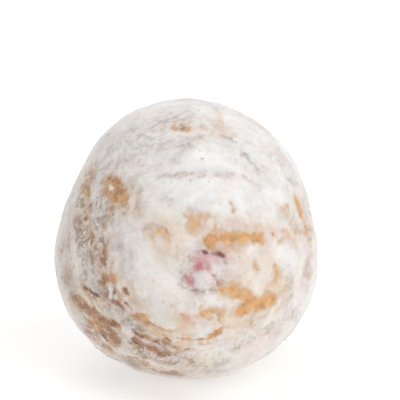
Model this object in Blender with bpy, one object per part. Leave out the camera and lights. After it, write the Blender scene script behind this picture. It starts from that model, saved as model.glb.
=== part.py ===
"""Powdered doughnut hole with a jelly filling.

A fried ball of dough about 40 mm across, caked with powdered sugar. It rests on the small
flat spot that its own weight makes. The nozzle hole, with the filling showing in it, is in
the side that faces -Y. Metres, +Z up, and the origin is the middle of the resting spot.

Directions on the ball are given from the middle of its waist, as an azimuth from the front
(-Y) towards the right (+X) and an elevation above the waist, both in degrees.
"""

import math

import bmesh
import bpy
from mathutils import Vector, noise

# The ball
WIDTH = 0.0394  # across the waist, where it is widest
CROWN_HEIGHT = 0.0239  # from the waist up to the top
BELLY_HEIGHT = 0.0181  # from the waist down to where a round bottom would end
SETTLING = 0.0006  # how much of the belly the flat resting spot takes away
PRESSED_HEIGHT = 0.0035  # above the table, up to which the dough's weight smooths the relief
CELLS = 27  # rows of faces along each side of the cube that is blown out into the ball
SNAP = 0.00003  # a corner this close to the flat resting spot lies on its edge

# Where the ball leaves its egg shape: azimuth, elevation, reach in degrees, and height
SWELLS = {
    "full right shoulder": (109, 47, 24, 0.00065),
    "flat right side": (92, 17, 15, -0.00050),
    "slim left shoulder": (-98, 30, 24, -0.00077),
    "full left side": (-90, 0, 14, 0.00050),
    "slim left flank": (-80, -29, 9, -0.00040),
    "full left foot": (-72, -52, 12, 0.00020),
    "full right foot": (78, -40, 13, 0.00045),
    "full right heel": (64, -52, 9, 0.00030),
    "flat back": (170, 8, 30, -0.00050),
}

# The frying seam, a crease round the middle of the side that floated uppermost
SEAM_AZIMUTH = 12
SEAM_ELEVATION = 31
SEAM_ANGLE = 56  # from the middle of that side to the crease
SEAM_HALF_WIDTH = 0.0015
SEAM_DEPTH = 0.00060
SEAM_FADE = 0.30  # the share of its depth that is left at the top of the ball
SEAM_FADE_FROM, SEAM_FADE_TO = -0.2, 0.9  # sines of the elevations between which it fades
SEAM_WANDER = 3.0  # degrees that the crease strays to either side
SEAM_SWAYS = 2.3  # how often it does so
SEAM_SWAY_START = Vector((5, 0, 0))

# Relief of the crust and of the sugar caked on it: length of a wave, height, and the corner of
# the noise that it is read from
LUMP_LENGTH = 0.0125
LUMP_HEIGHT = 0.00030
LUMP_START = Vector((1.3, 4.1, 2.2))
WRINKLE_LENGTH = 0.0060
WRINKLE_HEIGHT = 0.00020
WRINKLE_START = Vector((3.7, 0.4, 8.8))
WRINKLE_STRETCH = 1.8  # how much longer a wrinkle is round the ball than up it
CAKE_LENGTH = 0.0080
CAKE_HEIGHT = 0.00036
CAKE_START = Vector((2.9, 6.3, 0.7))
CAKE_EDGE = 0.30  # the share of the noise's range over which a patch of sugar rises
CAKE_FALLOFF, CAKE_LACUNARITY, CAKE_OCTAVES = 0.8, 2.1, 2  # of that noise

# The nozzle hole and the filling in it
MOUTH_AZIMUTH = 6.8
MOUTH_ELEVATION = 12.2
CHANNEL_RADIUS = 0.0023
CHANNEL_DEPTH = 0.0185  # the nozzle reaches the middle of the ball
LIP_RADIUS = 0.0030  # of the mouth, where the crust turns in
LIP_DEPTH = 0.0010
MOUTH_STRETCH = 1.15  # how much longer than wide the nozzle tore the mouth
MOUTH_SLANT = 35  # degrees that its length slants up to the right
GAP = 0.00033  # between the filling and the wall of the channel
SUNK = 0.0005  # how far the filling's rim lies below the crust
DOME = 0.0003  # how far its middle stands proud of its rim
CLUMP_RIGHT = 0.0003  # the sugar caked on the filling, from its middle
CLUMP_DOWN = 0.0011
CLUMP_RADIUS = 0.0012
CLUMP_HEIGHT = 0.0004
TURNS = 26  # faces round the channel
ARC_STEPS = 6  # faces along the channel's round end, and from the filling's rim to its middle
RAGGED = 0.00030  # how far the mouth and the filling stray from their oval
RAGGED_LENGTH = 0.0018

SAME_POINT = 1e-6  # corners this close together are one
SHARP_ANGLE = 50  # degrees, above which an edge isn't shaded smooth
DOUGH_COLOUR = (0.80, 0.72, 0.64, 1)
DOUGH_ROUGHNESS = 0.85
JELLY_COLOUR = (0.47, 0.06, 0.09, 1)
JELLY_ROUGHNESS = 0.2


def direction(azimuth, elevation):
    """The unit vector of a direction on the ball."""
    around, up = math.radians(azimuth), math.radians(elevation)
    return Vector(
        (math.sin(around) * math.cos(up), -math.cos(around) * math.cos(up), math.sin(up))
    )


WAIST = Vector((0, 0, BELLY_HEIGHT - SETTLING))
MOUTH = direction(MOUTH_AZIMUTH, MOUTH_ELEVATION)
SEAM_POLE = direction(SEAM_AZIMUTH, SEAM_ELEVATION)


def smooth_step(low, high, value):
    """0 below low, 1 above high, and an even rise between them."""
    share = min(1, max(0, (value - low) / (high - low)))
    return share * share * (3 - 2 * share)


def bell(off, reach):
    """1 at the middle, falling smoothly to almost nothing at twice the reach."""
    return math.exp(-((off / reach) ** 2))


def egg_radius(way):
    """Distance from the waist's middle to the plain egg: two half ellipsoids that share a waist."""
    half_height = CROWN_HEIGHT if way.z > 0 else BELLY_HEIGHT
    across = (way.x**2 + way.y**2) / (WIDTH / 2) ** 2
    return 1 / math.sqrt(across + (way.z / half_height) ** 2)


def swell(way):
    """The broad fullness and flatness that make each ball a little different."""
    total = 0
    for azimuth, elevation, reach, height in SWELLS.values():
        off = math.degrees(way.angle(direction(azimuth, elevation)))
        total += height * bell(off, reach)
    return total


def seam(way, radius):
    """The crease, which wanders a little and is shallower towards the top of the ball."""
    wander = SEAM_WANDER * noise.noise(way * SEAM_SWAYS + SEAM_SWAY_START)
    degrees_off = math.degrees(way.angle(SEAM_POLE)) - SEAM_ANGLE - wander
    faded = (1 - SEAM_FADE) * smooth_step(SEAM_FADE_FROM, SEAM_FADE_TO, way.z)
    depth = SEAM_DEPTH * (1 - faded)
    return -depth * bell(math.radians(degrees_off) * radius, SEAM_HALF_WIDTH)


def relief(way, radius):
    """Lumps, wrinkles that run round the ball, and flat-topped patches of caked sugar."""
    at = way * radius
    lumps = LUMP_HEIGHT * noise.noise(at / LUMP_LENGTH + LUMP_START)
    stretched = Vector((at.x, at.y, at.z * WRINKLE_STRETCH)) / WRINKLE_LENGTH
    wrinkles = WRINKLE_HEIGHT * noise.noise(stretched + WRINKLE_START)
    where = at / CAKE_LENGTH + CAKE_START
    cover = noise.fractal(where, CAKE_FALLOFF, CAKE_LACUNARITY, CAKE_OCTAVES)
    cake = CAKE_HEIGHT * (smooth_step(-CAKE_EDGE / 2, CAKE_EDGE / 2, cover) - 0.5)
    pressed = smooth_step(0, PRESSED_HEIGHT, WAIST.z + at.z)
    return pressed * (lumps + wrinkles + cake)


def surface_point(way):
    """Where the ball's surface is, in one direction from the waist's middle."""
    radius = egg_radius(way) + swell(way)
    radius += seam(way, radius) + relief(way, radius)
    return WAIST + way * radius


def new_object(name, bm, colour, roughness):
    """A node from a bmesh, with its own plain material and smooth faces."""
    mesh = bpy.data.meshes.new(name)
    bm.to_mesh(mesh)
    bm.free()
    mesh.shade_smooth()
    mesh.set_sharp_from_angle(angle=math.radians(SHARP_ANGLE))
    material = bpy.data.materials.new(name)
    material.use_nodes = True
    shader = material.node_tree.nodes["Principled BSDF"]
    shader.inputs["Base Color"].default_value = colour
    shader.inputs["Roughness"].default_value = roughness
    mesh.materials.append(material)
    node = bpy.data.objects.new(name, mesh)
    bpy.context.scene.collection.objects.link(node)
    return node


def ball():
    """The ball as a bmesh: a cube's grid blown out to the surface, with its foot cut flat."""
    bm = bmesh.new()
    bmesh.ops.create_cube(bm, size=2)
    bmesh.ops.subdivide_edges(bm, edges=bm.edges[:], cuts=CELLS - 1, use_grid_fill=True)
    for vertex in bm.verts:
        # The tangent makes the grid's faces about equal in size all over the ball
        way = Vector([math.tan(part * math.pi / 4) for part in vertex.co]).normalized()
        vertex.co = surface_point(way)
    everything = bm.verts[:] + bm.edges[:] + bm.faces[:]
    bmesh.ops.bisect_plane(
        bm,
        geom=everything,
        dist=SNAP,
        plane_co=(0, 0, 0),
        plane_no=(0, 0, -1),
        use_snap_center=True,
        clear_outer=True,
    )
    rim = [edge for edge in bm.edges if edge.is_boundary]
    bmesh.ops.contextual_create(bm, geom=rim)
    bmesh.ops.recalc_face_normals(bm, faces=bm.faces[:])
    return bm


def turned(profile):
    """A round solid about local Z as a bmesh, from (radius, height) points, bottom to top."""
    bm = bmesh.new()
    points = [bm.verts.new((radius, 0, height)) for radius, height in profile]
    edges = [bm.edges.new(pair) for pair in zip(points, points[1:])]
    bmesh.ops.spin(
        bm,
        geom=points + edges,
        cent=(0, 0, 0),
        axis=(0, 0, 1),
        angle=math.tau,
        steps=TURNS,
        use_merge=True,
    )
    bmesh.ops.remove_doubles(bm, verts=bm.verts[:], dist=SAME_POINT)
    bmesh.ops.recalc_face_normals(bm, faces=bm.faces[:])
    return bm


def tear(bm):
    """Makes a turned solid's outer end a ragged oval, the same one for each such solid."""
    length = Vector((math.cos(math.radians(MOUTH_SLANT)), math.sin(math.radians(MOUTH_SLANT))))
    for vertex in bm.verts:
        reach = vertex.co.xy.length
        if vertex.co.z > -2 * LIP_DEPTH and reach > GAP:
            around = vertex.co.xy.to_3d() / reach
            stray = RAGGED * noise.noise(around * CHANNEL_RADIUS / RAGGED_LENGTH)
            vertex.co.xy *= 1 + stray / reach
            vertex.co.xy += (MOUTH_STRETCH - 1) * vertex.co.xy.dot(length) * length


def at_mouth(thing):
    """Puts something turned about local Z on the nozzle's line, with height 0 at the crust."""
    thing.location = surface_point(MOUTH)
    thing.rotation_mode = "QUATERNION"
    thing.rotation_quaternion = MOUTH.to_track_quat("Z", "Y")


def quarter_arc():
    """(sine, cosine) of the angles from 0 to 90 degrees."""
    angles = [math.pi / 2 * step / ARC_STEPS for step in range(ARC_STEPS + 1)]
    return [(math.sin(angle), math.cos(angle)) for angle in angles]


def round_end(radius, tip):
    """The profile of a hemisphere that ends a channel, from the axis out to its wall."""
    return [(radius * sine, tip + radius * (1 - cosine)) for sine, cosine in quarter_arc()]


def cut_nozzle_hole(dough):
    """Takes the nozzle's channel out of the ball, with a mouth that widens outwards."""
    flare = LIP_RADIUS - CHANNEL_RADIUS
    profile = round_end(CHANNEL_RADIUS, -CHANNEL_DEPTH)
    profile += [(CHANNEL_RADIUS, -LIP_DEPTH), (LIP_RADIUS + flare, LIP_DEPTH), (0, LIP_DEPTH)]
    bm = turned(profile)
    tear(bm)
    cutter = new_object("nozzle_hole", bm, DOUGH_COLOUR, DOUGH_ROUGHNESS)
    at_mouth(cutter)
    cutter.hide_render = True
    cutter.display_type = "WIRE"
    cut = dough.modifiers.new("nozzle hole", "BOOLEAN")
    cut.operation = "DIFFERENCE"
    cut.solver = "EXACT"
    cut.object = cutter


def filling():
    """The jelly in the channel, domed where it shows, with a clump of sugar caked on it."""
    radius = CHANNEL_RADIUS - GAP
    face = [(radius * sine, DOME * cosine - SUNK) for sine, cosine in reversed(quarter_arc())]
    bm = turned(round_end(radius, GAP - CHANNEL_DEPTH) + face)
    tear(bm)
    clump = Vector((CLUMP_RIGHT, -CLUMP_DOWN))
    for vertex in bm.verts:
        if vertex.co.z > -SUNK:
            vertex.co.z += CLUMP_HEIGHT * bell((vertex.co.xy - clump).length, CLUMP_RADIUS)
    at_mouth(new_object("jelly", bm, JELLY_COLOUR, JELLY_ROUGHNESS))


def main():
    for old in list(bpy.data.objects):
        bpy.data.objects.remove(old)
    dough = new_object("dough", ball(), DOUGH_COLOUR, DOUGH_ROUGHNESS)
    cut_nozzle_hole(dough)
    filling()


main()
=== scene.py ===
import math

import bmesh
import bpy
import numpy as np
from mathutils import Matrix, Vector, noise
from mathutils.bvhtree import BVHTree


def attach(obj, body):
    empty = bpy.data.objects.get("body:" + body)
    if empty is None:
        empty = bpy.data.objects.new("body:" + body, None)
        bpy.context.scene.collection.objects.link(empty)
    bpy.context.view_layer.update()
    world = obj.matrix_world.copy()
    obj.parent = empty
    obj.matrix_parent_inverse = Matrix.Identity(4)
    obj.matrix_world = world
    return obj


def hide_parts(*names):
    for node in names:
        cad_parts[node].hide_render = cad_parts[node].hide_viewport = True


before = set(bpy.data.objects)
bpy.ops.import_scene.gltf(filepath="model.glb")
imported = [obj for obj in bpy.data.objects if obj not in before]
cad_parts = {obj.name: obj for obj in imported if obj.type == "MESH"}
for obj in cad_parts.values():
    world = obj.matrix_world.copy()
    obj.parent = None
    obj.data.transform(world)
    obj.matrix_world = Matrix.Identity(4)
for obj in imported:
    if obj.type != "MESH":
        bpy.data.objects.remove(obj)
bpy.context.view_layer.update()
print("frame loaded")

millimetre = 0.001


def direction(azimuth, elevation):
    # azimuth from the front, -Y, towards +X; both in degrees
    around, up = math.radians(azimuth), math.radians(elevation)
    return Vector((math.sin(around) * math.cos(up), -math.cos(around) * math.cos(up), math.sin(up)))


picture = {
    "elevation": 18,          # degrees that the camera looks down by
    "lens": 150,              # mm
    "sensor": 36,             # mm across
    "size": 400,              # pixels across the picture
    "pixel": 0.000151,        # metres that a pixel covers at the middle of the ball
    "waistAt": (186.5, 257),  # the pixel where the middle of the ball's waist falls
}

crust = {
    "waistHeight": 0.0175,    # of the widest place, above the table
    "radius": 0.0195,         # about, for sizes along the surface
    "clearOf": 0.03,          # from the waist, where nothing of the ball reaches
    "cells": 124,             # rows of faces along each side of the cube that is blown out
    "crowding": 0.42,         # how much finer the faces are round the mouth
    "drawnOut": 1.7,          # how much longer than wide the streaks are
    "softening": 36,          # rounds that even out the facets of the plain solid
}

# the dough was rolled and the sugar was wiped on round this line
streakPole = direction(12, 31)

mouth = {
    "azimuth": 6.8,           # where the nozzle went in
    "elevation": 12.2,
    "fitFrom": 0.0046,        # the crust across the mouth carries on from the ring between these
    "fitTo": 0.0068,
    "planeDrop": 0.0003,      # how far below the crust its lines are laid on a plane
    "seenInside": 0.0006,     # a pixel that shows a place this far down is laid there too
    "outside": 0.004,         # this far above the crust there is nothing of the ball
    "rimProbe": 0.0008,       # how far below the crust the mouth's edge is felt for
    "wallProbe": 0.0014,      # and the channel's wall
    "rimWidening": 1.2,
    "lipWidth": 0.0009,       # the crust dips in over this much round the rim
    "lipDrop": 0.00015,
    "snap": 0.00008,          # points this near the rim go onto it
    # from the rim inwards: share of the way, mm down, and how far the wall has drawn in
    "wall": ((0, 0, 0), (0.06, 0.1, 0.2), (0.14, 0.35, 0.5), (0.25, 0.8, 0.9), (0.4, 1.8, 1),
             (0.8, 15.2, 1), (0.9, 16.6, 1), (1, 17, 1)),
    "closing": ((0.8, 1), (0.9, 0.72), (1, 0)),      # how the channel's end draws together
    "calming": ((0, 1), (0.15, 0)),                  # and how the relief dies out below the rim
}

waist = Vector((0, 0, crust["waistHeight"]))
mouthAxis = direction(mouth["azimuth"], mouth["elevation"])
mouthTurn = np.array(mouthAxis.to_track_quat("Z", "Y").to_matrix())
graph = bpy.context.evaluated_depsgraph_get()
doughTree = BVHTree.FromObject(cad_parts["dough"], graph)
jellyTree = BVHTree.FromObject(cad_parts["jelly"], graph)


def addAimed(name, data, at, aim):
    made = bpy.data.objects.new(name, data)
    made.location = at
    made.rotation_mode = "QUATERNION"
    made.rotation_quaternion = aim
    bpy.context.scene.collection.objects.link(made)
    return made


def addCamera():
    # the ball lies low in the picture, so the camera looks over it: it is tilted up from the line
    # to the waist, and turned to the right
    focus = picture["lens"] / picture["sensor"] * picture["size"]
    middle = picture["size"] / 2
    tilt = math.atan((picture["waistAt"][1] - middle) / focus)
    turn = math.atan((picture["waistAt"][0] - middle) / focus * math.cos(tilt))
    line = direction(0, picture["elevation"])
    aim = line.to_track_quat("Z", "Y").to_matrix()
    aim = aim @ Matrix.Rotation(tilt, 3, "X") @ Matrix.Rotation(turn, 3, "Y")
    data = bpy.data.cameras.new("camera")
    data.lens = picture["lens"]
    data.sensor_width = picture["sensor"]
    data.clip_start = 0.01
    made = addAimed("camera", data, waist + line * focus * picture["pixel"], aim.to_quaternion())
    bpy.context.scene.camera = made
    return {"at": made.location.copy(), "right": aim.col[0], "up": aim.col[1], "towards": aim.col[2]}


eye = addCamera()


def rayThrough(x, y):
    half = picture["size"] / 2
    spread = picture["sensor"] / picture["lens"] / picture["size"]
    return -eye["towards"] + eye["right"] * (x - half) * spread + eye["up"] * (half - y) * spread


def onCrust(x, y):
    # the point of the ball that a pixel of the picture shows
    ray = rayThrough(x, y)
    hit = doughTree.ray_cast(eye["at"], ray.normalized())[0]
    if hit is None:
        # a little outside the outline: the nearest point instead
        along = (waist - eye["at"]).dot(ray) / ray.length_squared
        hit = doughTree.find_nearest(eye["at"] + ray * along)[0]
    return hit


def smoothStep(low, high, value):
    share = np.clip((value - low) / (high - low), 0, 1)
    return share * share * (3 - 2 * share)


# waves in the sugar and the filling: how long they are in metres, where in the noise they
# start, and how many octaves they have
waves = {
    "patches": (0.0045, (7, 3, 1), 3),
    "smallFlakes": (0.0011, (3, 2, 9)),
    "browning": (0.009, (8, 1, 4)),
    "graininess": (0.006, (9, 9, 2)),
    "humps": (0.003, (2, 2, 5), 2),
    "bumps": (0.0009, (6, 1, 1), 3),
    "fruit": (0.0012, (1, 1, 4), 3),
}

# waves that are drawn out: how long they are across the streaks and along them
drawnWaves = {
    "bands": (0.0013, 0.006, (3, 8, 2)),
    "flakes": (0.0022, 0.003, (6, 2, 8)),
    "ridges": (0.0008, 0.005, (9, 4, 4)),
    "strays": (0.0008, 0.004, (5, 5, 1)),
}

# what makes the edges of the strokes ragged: how far they stray, in metres, and in what waves
strays = {
    "coarse": (0.00032, 0.0015, (4, 1, 7)),
    "fine": (0.00015, 0.0006, (2, 9, 3)),
    "gaps": (0.00022, 0.0007, (1, 6, 2)),
    "filling": (0.0002, 0.0009, (3, 3, 3)),
    "along": 0.0003,
}

noise.seed_set(8)             # or the strays would change from run to run


def noiseAt(points, length, start, octaves=1):
    # about -1 to 1
    scaled = (points / length + np.array(start)).tolist()
    if octaves == 1:
        return np.array([noise.noise(p) for p in scaled])
    return np.array([noise.fractal(p, 0.9, 2.1, octaves) for p in scaled])


def straysAt(points, amount, length, start):
    scaled = (points / length + np.array(start)).tolist()
    return amount * np.array([noise.noise_vector(p) for p in scaled])


def unit(vectors):
    return vectors / np.maximum(np.linalg.norm(vectors, axis=1), 1e-9)[:, None]


def drawnOut(points, across, along):
    # squeezes the points along the circles round the streaks' pole, to draw a pattern out there
    ways = unit(points - np.array(waist))
    reach = np.arccos(np.clip(ways @ np.array(streakPole), -1, 1)) * crust["radius"]
    return ways * crust["radius"] / along + (reach / across)[:, None] * np.array(streakPole)


def streaksAt(points, across, along, start):
    drawn = drawnOut(points, across, along) + np.array(start)
    return np.array([noise.noise(p) for p in drawn.tolist()])


def awayFromLine(points, corners):
    best = np.full(len(points), 1.0)
    for a, b in zip(corners, corners[1:]):
        a, b = np.array(a), np.array(b)
        along = b - a
        share = np.clip((points - a) @ along / max(along @ along, 1e-12), 0, 1)
        best = np.minimum(best, np.linalg.norm(points - a - share[:, None] * along, axis=1))
    return best


def toMouth(points):
    # x to the right, y up and z out along the nozzle's line
    return (points - np.array(waist)) @ mouthTurn


def fromMouth(local):
    return local @ mouthTurn.T + np.array(waist)


def ballGrid():
    bm = bmesh.new()
    bmesh.ops.create_cube(bm, size=2)
    bmesh.ops.subdivide_edges(bm, edges=bm.edges[:], cuts=crust["cells"] - 1, use_grid_fill=True)
    mesh = bpy.data.meshes.new("powdered_crust")
    bm.to_mesh(mesh)
    bm.free()
    cube = np.zeros(len(mesh.vertices) * 3)
    mesh.vertices.foreach_get("co", cube)
    ways = unit(np.tan(cube.reshape(-1, 3) * math.pi / 4))
    edges = np.zeros(len(mesh.edges) * 2, int)
    mesh.edges.foreach_get("vertices", edges)
    return mesh, crowd(ways), edges.reshape(-1, 2)


def crowd(ways):
    # turns an even spread of directions into one that is denser towards the mouth
    towards, amount = np.array(mouthAxis), crust["crowding"]
    along = ways @ towards
    across = ways - along[:, None] * towards
    nearer = 1 + amount * along
    moved = across * (math.sqrt(1 - amount**2) / nearer)[:, None]
    return moved + ((along + amount) / nearer)[:, None] * towards


def evenOut(edges, values, rounds):
    count = len(values)
    links = np.bincount(edges.ravel(), minlength=count)
    for _ in range(rounds):
        total = np.bincount(edges[:, 0], values[edges[:, 1]], count)
        total += np.bincount(edges[:, 1], values[edges[:, 0]], count)
        values = 0.5 * values + 0.5 * total / links
    return values


def crustAlong(way):
    # the crust's place in that direction, felt from outside
    return doughTree.ray_cast(waist + way * crust["clearOf"], -way)[0]


def bowlTerms(x, y):
    return np.stack([np.ones_like(x), x, y, x * x, x * y, y * y], axis=1)


def crustRadii(ways, edges):
    # across the mouth the crust carries on as if it had no hole
    radii = np.array([(crustAlong(Vector(way)) - waist).length for way in ways.tolist()])
    local = ways @ mouthTurn
    x, y = local[:, 0], local[:, 1]
    off = np.hypot(x, y) * crust["radius"]
    front = local[:, 2] > 0
    ring = front & (off > mouth["fitFrom"]) & (off < mouth["fitTo"])
    terms = bowlTerms(x, y)
    fit = np.linalg.lstsq(terms[ring], radii[ring], rcond=None)[0]
    share = np.where(front, 1 - smoothStep(mouth["fitFrom"], mouth["fitTo"], off), 0)
    radii = radii * (1 - share) + terms @ fit * share
    return evenOut(edges, radii, crust["softening"]), fit


def evenRound(values):
    # for values that run round the mouth
    return (np.roll(values, 1, axis=-1) + 2 * values + np.roll(values, -1, axis=-1)) / 4


def wallReach(top, depth, turns=90):
    # how far the channel's wall is from the nozzle's line, all round, at one depth
    angles = np.linspace(0, math.tau, turns, endpoint=False)
    start = waist + mouthAxis * (top - depth)
    reach = []
    for angle in angles:
        out = Vector(mouthTurn @ np.array([math.cos(angle), math.sin(angle), 0]))
        reach.append((doughTree.ray_cast(start, out)[0] - start).length)
    reach = np.array(reach)
    for _ in range(3):
        reach = evenRound(reach)
    return angles, reach


def around(profile, angle):
    angles, reach = profile
    return np.interp(angle % math.tau, angles, reach, period=math.tau)


mesh, ways, edges = ballGrid()
radii, mouthFit = crustRadii(ways, edges)
mouthTop = mouthFit[0]
rimReach = wallReach(mouthTop, mouth["rimProbe"])
channelReach = wallReach(mouthTop, mouth["wallProbe"])
base = ways * radii[:, None] + np.array(waist)
print("crust felt from the plain solid:", len(base), "points")


def onMouth(x, y):
    # where a pixel's ray meets the plane across the mouth
    ray = rayThrough(x, y)
    face = waist + mouthAxis * (mouthTop - mouth["planeDrop"])
    return eye["at"] + ray * ((face - eye["at"]).dot(mouthAxis) / ray.dot(mouthAxis))


def lineOnCrust(pixels):
    line = []
    for pixel in pixels:
        place = onCrust(*pixel)
        x, y, z = toMouth(np.array(place)[None, :])[0]
        if math.hypot(x, y) < mouth["fitFrom"] and 0 < z < mouthTop - mouth["seenInside"]:
            place = onMouth(*pixel)
        line.append(place)
    return line


def flatLine(pixels):
    # seen straight along the nozzle's line
    return [toMouth(np.array(onMouth(*pixel))[None, :])[0] * np.array([1, 1, 0]) for pixel in pixels]


def placed(*rows):
    # a row gives its numbers and then one or more lines in pixels, which are laid on the crust
    made = []
    for row in rows:
        numbers = [given for given in row if not isinstance(given, tuple)]
        made += [(*numbers, lineOnCrust(line)) for line in row[len(numbers):]]
    return made


# bare places, where the fried crust shows: half width in mm, how bare, how brown,
# and the line or lines that they follow, in pixels of the picture
barePlaces = placed(
    # round spot on the left and the small one beside it
    (1.62, 1, 0.58, ((109.5, 188), (112.5, 189.5), (113, 191.5))),
    (0.75, 1, 0.8, ((116, 183), (118, 188), (117, 193))),
    (0.62, 0.9, 0.56, ((115, 192), (119, 195), (124, 197.5))),
    (0.7, 0.66, 0.62, ((84, 187), (87, 190), (87, 194))),
    (0.3, 0.6, 0.74, ((89, 186), (89, 193))),
    # near the top
    (0.6, 0.54, 0.8, ((176, 127.5), (183, 128.5), (191, 128))),
    # right of the middle
    (1.15, 0.6, 0.42, ((188, 216), (192, 218), (192, 222))),
    (0.6, 0.4, 0.36, ((197, 227), (200, 230))),
    (0.6, 0.45, 0.25, ((200, 215), (206, 217))),
    (0.66, 0.78, 0.4, ((210, 239), (216, 237.5), (224, 237))),
    (0.66, 1, 0.44, ((226, 237.5), (240, 237.5), (252, 236.8), (259, 236))),
    (0.48, 0.95, 0.4, ((257, 234), (260, 238), (263, 243))),
    (0.58, 1, 0.46, ((209.5, 240), (209.5, 244), (210, 248))),
    (0.54, 0.64, 0.4, ((212, 249.5), (222, 250.5), (230, 249))),
    (0.66, 0.64, 0.25, ((228, 246), (236, 244), (246, 242))),
    (0.62, 0.4, 0.42, ((217, 230), (222, 231.5), (226, 232))),
    (0.4, 0.3, 0.42, ((228, 232), (238, 232))),
    (0.32, 0.66, 0.7, ((230.5, 203), (232, 207), (234, 211))),
    # left of the mouth
    (0.55, 0.42, 0.28, ((151, 236), (156, 231), (162, 229))),
    (0.62, 0.6, 0.38, ((161, 232), (166, 235), (168, 241))),
    (0.8, 0.28, 0.25, ((156, 250), (162, 256))),
    # right edge
    (0.8, 0.85, 0.38, ((298, 202), (300, 208), (301, 213))),
    (0.62, 0.62, 0.46, ((302, 214), (304, 222), (305, 229))),
    (0.9, 0.3, 0.4, ((288, 210), (293, 218), (298, 226))),
    (0.45, 0.5, 0.6, ((279, 218), (282, 212), (287, 206))),
    (0.5, 0.65, 0.46, ((273, 234), (277, 237), (280, 241))),
    (0.3, 0.55, 0.46, ((281, 231), (288, 232), (289, 237), (283, 238))),
    (0.4, 0.6, 0.4, ((296, 232), (301, 231), (306, 234))),
    # below and right of the mouth
    (0.55, 0.8, 0.42, ((256, 264), (257, 270))),
    (0.4, 0.74, 0.4, ((221, 289), (227, 291), (233, 292))),
    (0.3, 0.6, 0.4, ((219, 286), (222, 292), (224, 295))),
    (0.8, 1, 0.44, ((234, 292.5), (242, 294.5), (248, 297.5), (246, 306), (239, 311.5))),
    (0.9, 0.9, 0.42, ((247, 305.5), (256, 305), (264, 303), (271, 301))),
    (0.62, 0.95, 0.4, ((249, 299), (257, 301), (265, 301))),
    (0.84, 0.5, 0.32, ((272, 299), (275, 290), (275.5, 281), (277.5, 274))),
    (0.8, 0.52, 0.52, ((277, 272), (278, 266))),
    (0.9, 0.22, 0.26, ((226, 279), (238, 281))),
    # below the mouth
    (0.6, 0.55, 0.36, ((199, 308), (204, 312), (214, 311))),
    (0.6, 0.5, 0.36, ((207, 319), (214, 318), (220, 314))),
    (0.5, 0.4, 0.36, ((213, 323), (217, 322))),
    (0.35, 0.55, 0.36, ((181, 316), (189, 317.5), (197, 317))),
    (0.6, 0.95, 0.46, ((211, 336.5), (214, 335.5), (216, 333))),
    (0.25, 0.8, 0.5, ((218, 332), (223, 327))),
    # down the left side, with darker browns: partly the crust's own tone, partly painted shade
    (0.55, 0.55, 0.8, ((101, 252), (103, 257), (104, 262))),
    (0.78, 0.85, 0.66, ((106, 278), (109, 279), (111, 280))),
    (0.55, 0.45, 0.95, ((102, 284), (103, 292))),
    (0.36, 0.7, 0.9, ((125, 289), (128, 294))),
    (0.26, 0.7, 1.1, ((83, 287), (88, 290), (92, 293), (98, 296))),
    (0.45, 0.75, 0.84, ((113, 301.5), (118, 304), (123, 308))),
    (0.3, 0.7, 0.85, ((126, 304), (130, 308))),
    # the big brown place at the lower left, its darker browns partly painted shade
    (0.7, 0.7, 0.55, ((78, 298), (80, 303))),
    (0.95, 0.9, 0.82, ((82, 303), (85, 307), (88, 311))),
    (0.95, 0.72, 0.58, ((92, 316), (95, 321), (93, 328))),
    (0.7, 0.9, 0.82, ((102, 321), (110, 323), (119, 327))),
    (1.3, 0.64, 0.74, ((106, 332), (112, 336), (113, 341))),
    (0.26, 0.5, 1.05, ((101, 334), (106, 340), (113, 346))),
    # streaks along the bottom
    (0.5, 0.9, 0.6, ((136, 316), (142, 317), (148, 323))),
    (0.32, 0.75, 0.66, ((148, 323), (156, 328), (166, 331), (176, 331))),
    (0.4, 0.55, 0.85, ((133, 331), (141, 336), (149, 341))),
    (0.34, 0.5, 0.78, ((144, 338), (154, 341), (166, 343), (178, 349))),
    (0.48, 0.64, 0.76, ((133, 339), (139, 343), (146, 347))),
    (0.58, 0.74, 0.8, ((149, 348), (156, 351), (164, 355))),
    (0.4, 0.5, 0.78, ((164, 351), (172, 353), (184, 352))),
    (0.26, 0.6, 0.7, ((178, 338), (190, 341), (202, 340))),
    (0.26, 0.5, 0.75, ((186, 350), (200, 351), (214, 347))),
    (0.5, 0.6, 0.75, ((160, 362), (166, 363), (171, 363))),
    (0.4, 0.4, 0.8, ((127, 356), (132, 357), (136, 358))),
    (0.3, 0.5, 0.8, ((148, 369), (154, 370))),
    (0.2, 0.5, 1.05, ((107, 287), (108, 296)), ((90, 323), (95, 327)), ((82, 299), (85, 304))),
    (0.2, 0.5, 1, ((115, 289), (113, 296)), ((151, 342), (158, 344), (165, 347))),
    (0.2, 0.6, 1.1, ((133, 332), (137, 335.5), (141, 338)), ((132, 339), (136, 343), (139, 346))),
    (0.22, 0.6, 1.05, ((152, 348), (156, 352), (160, 354))),
    (0.2, 0.5, 0.95, ((164, 338), (172, 341))),
)

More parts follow.
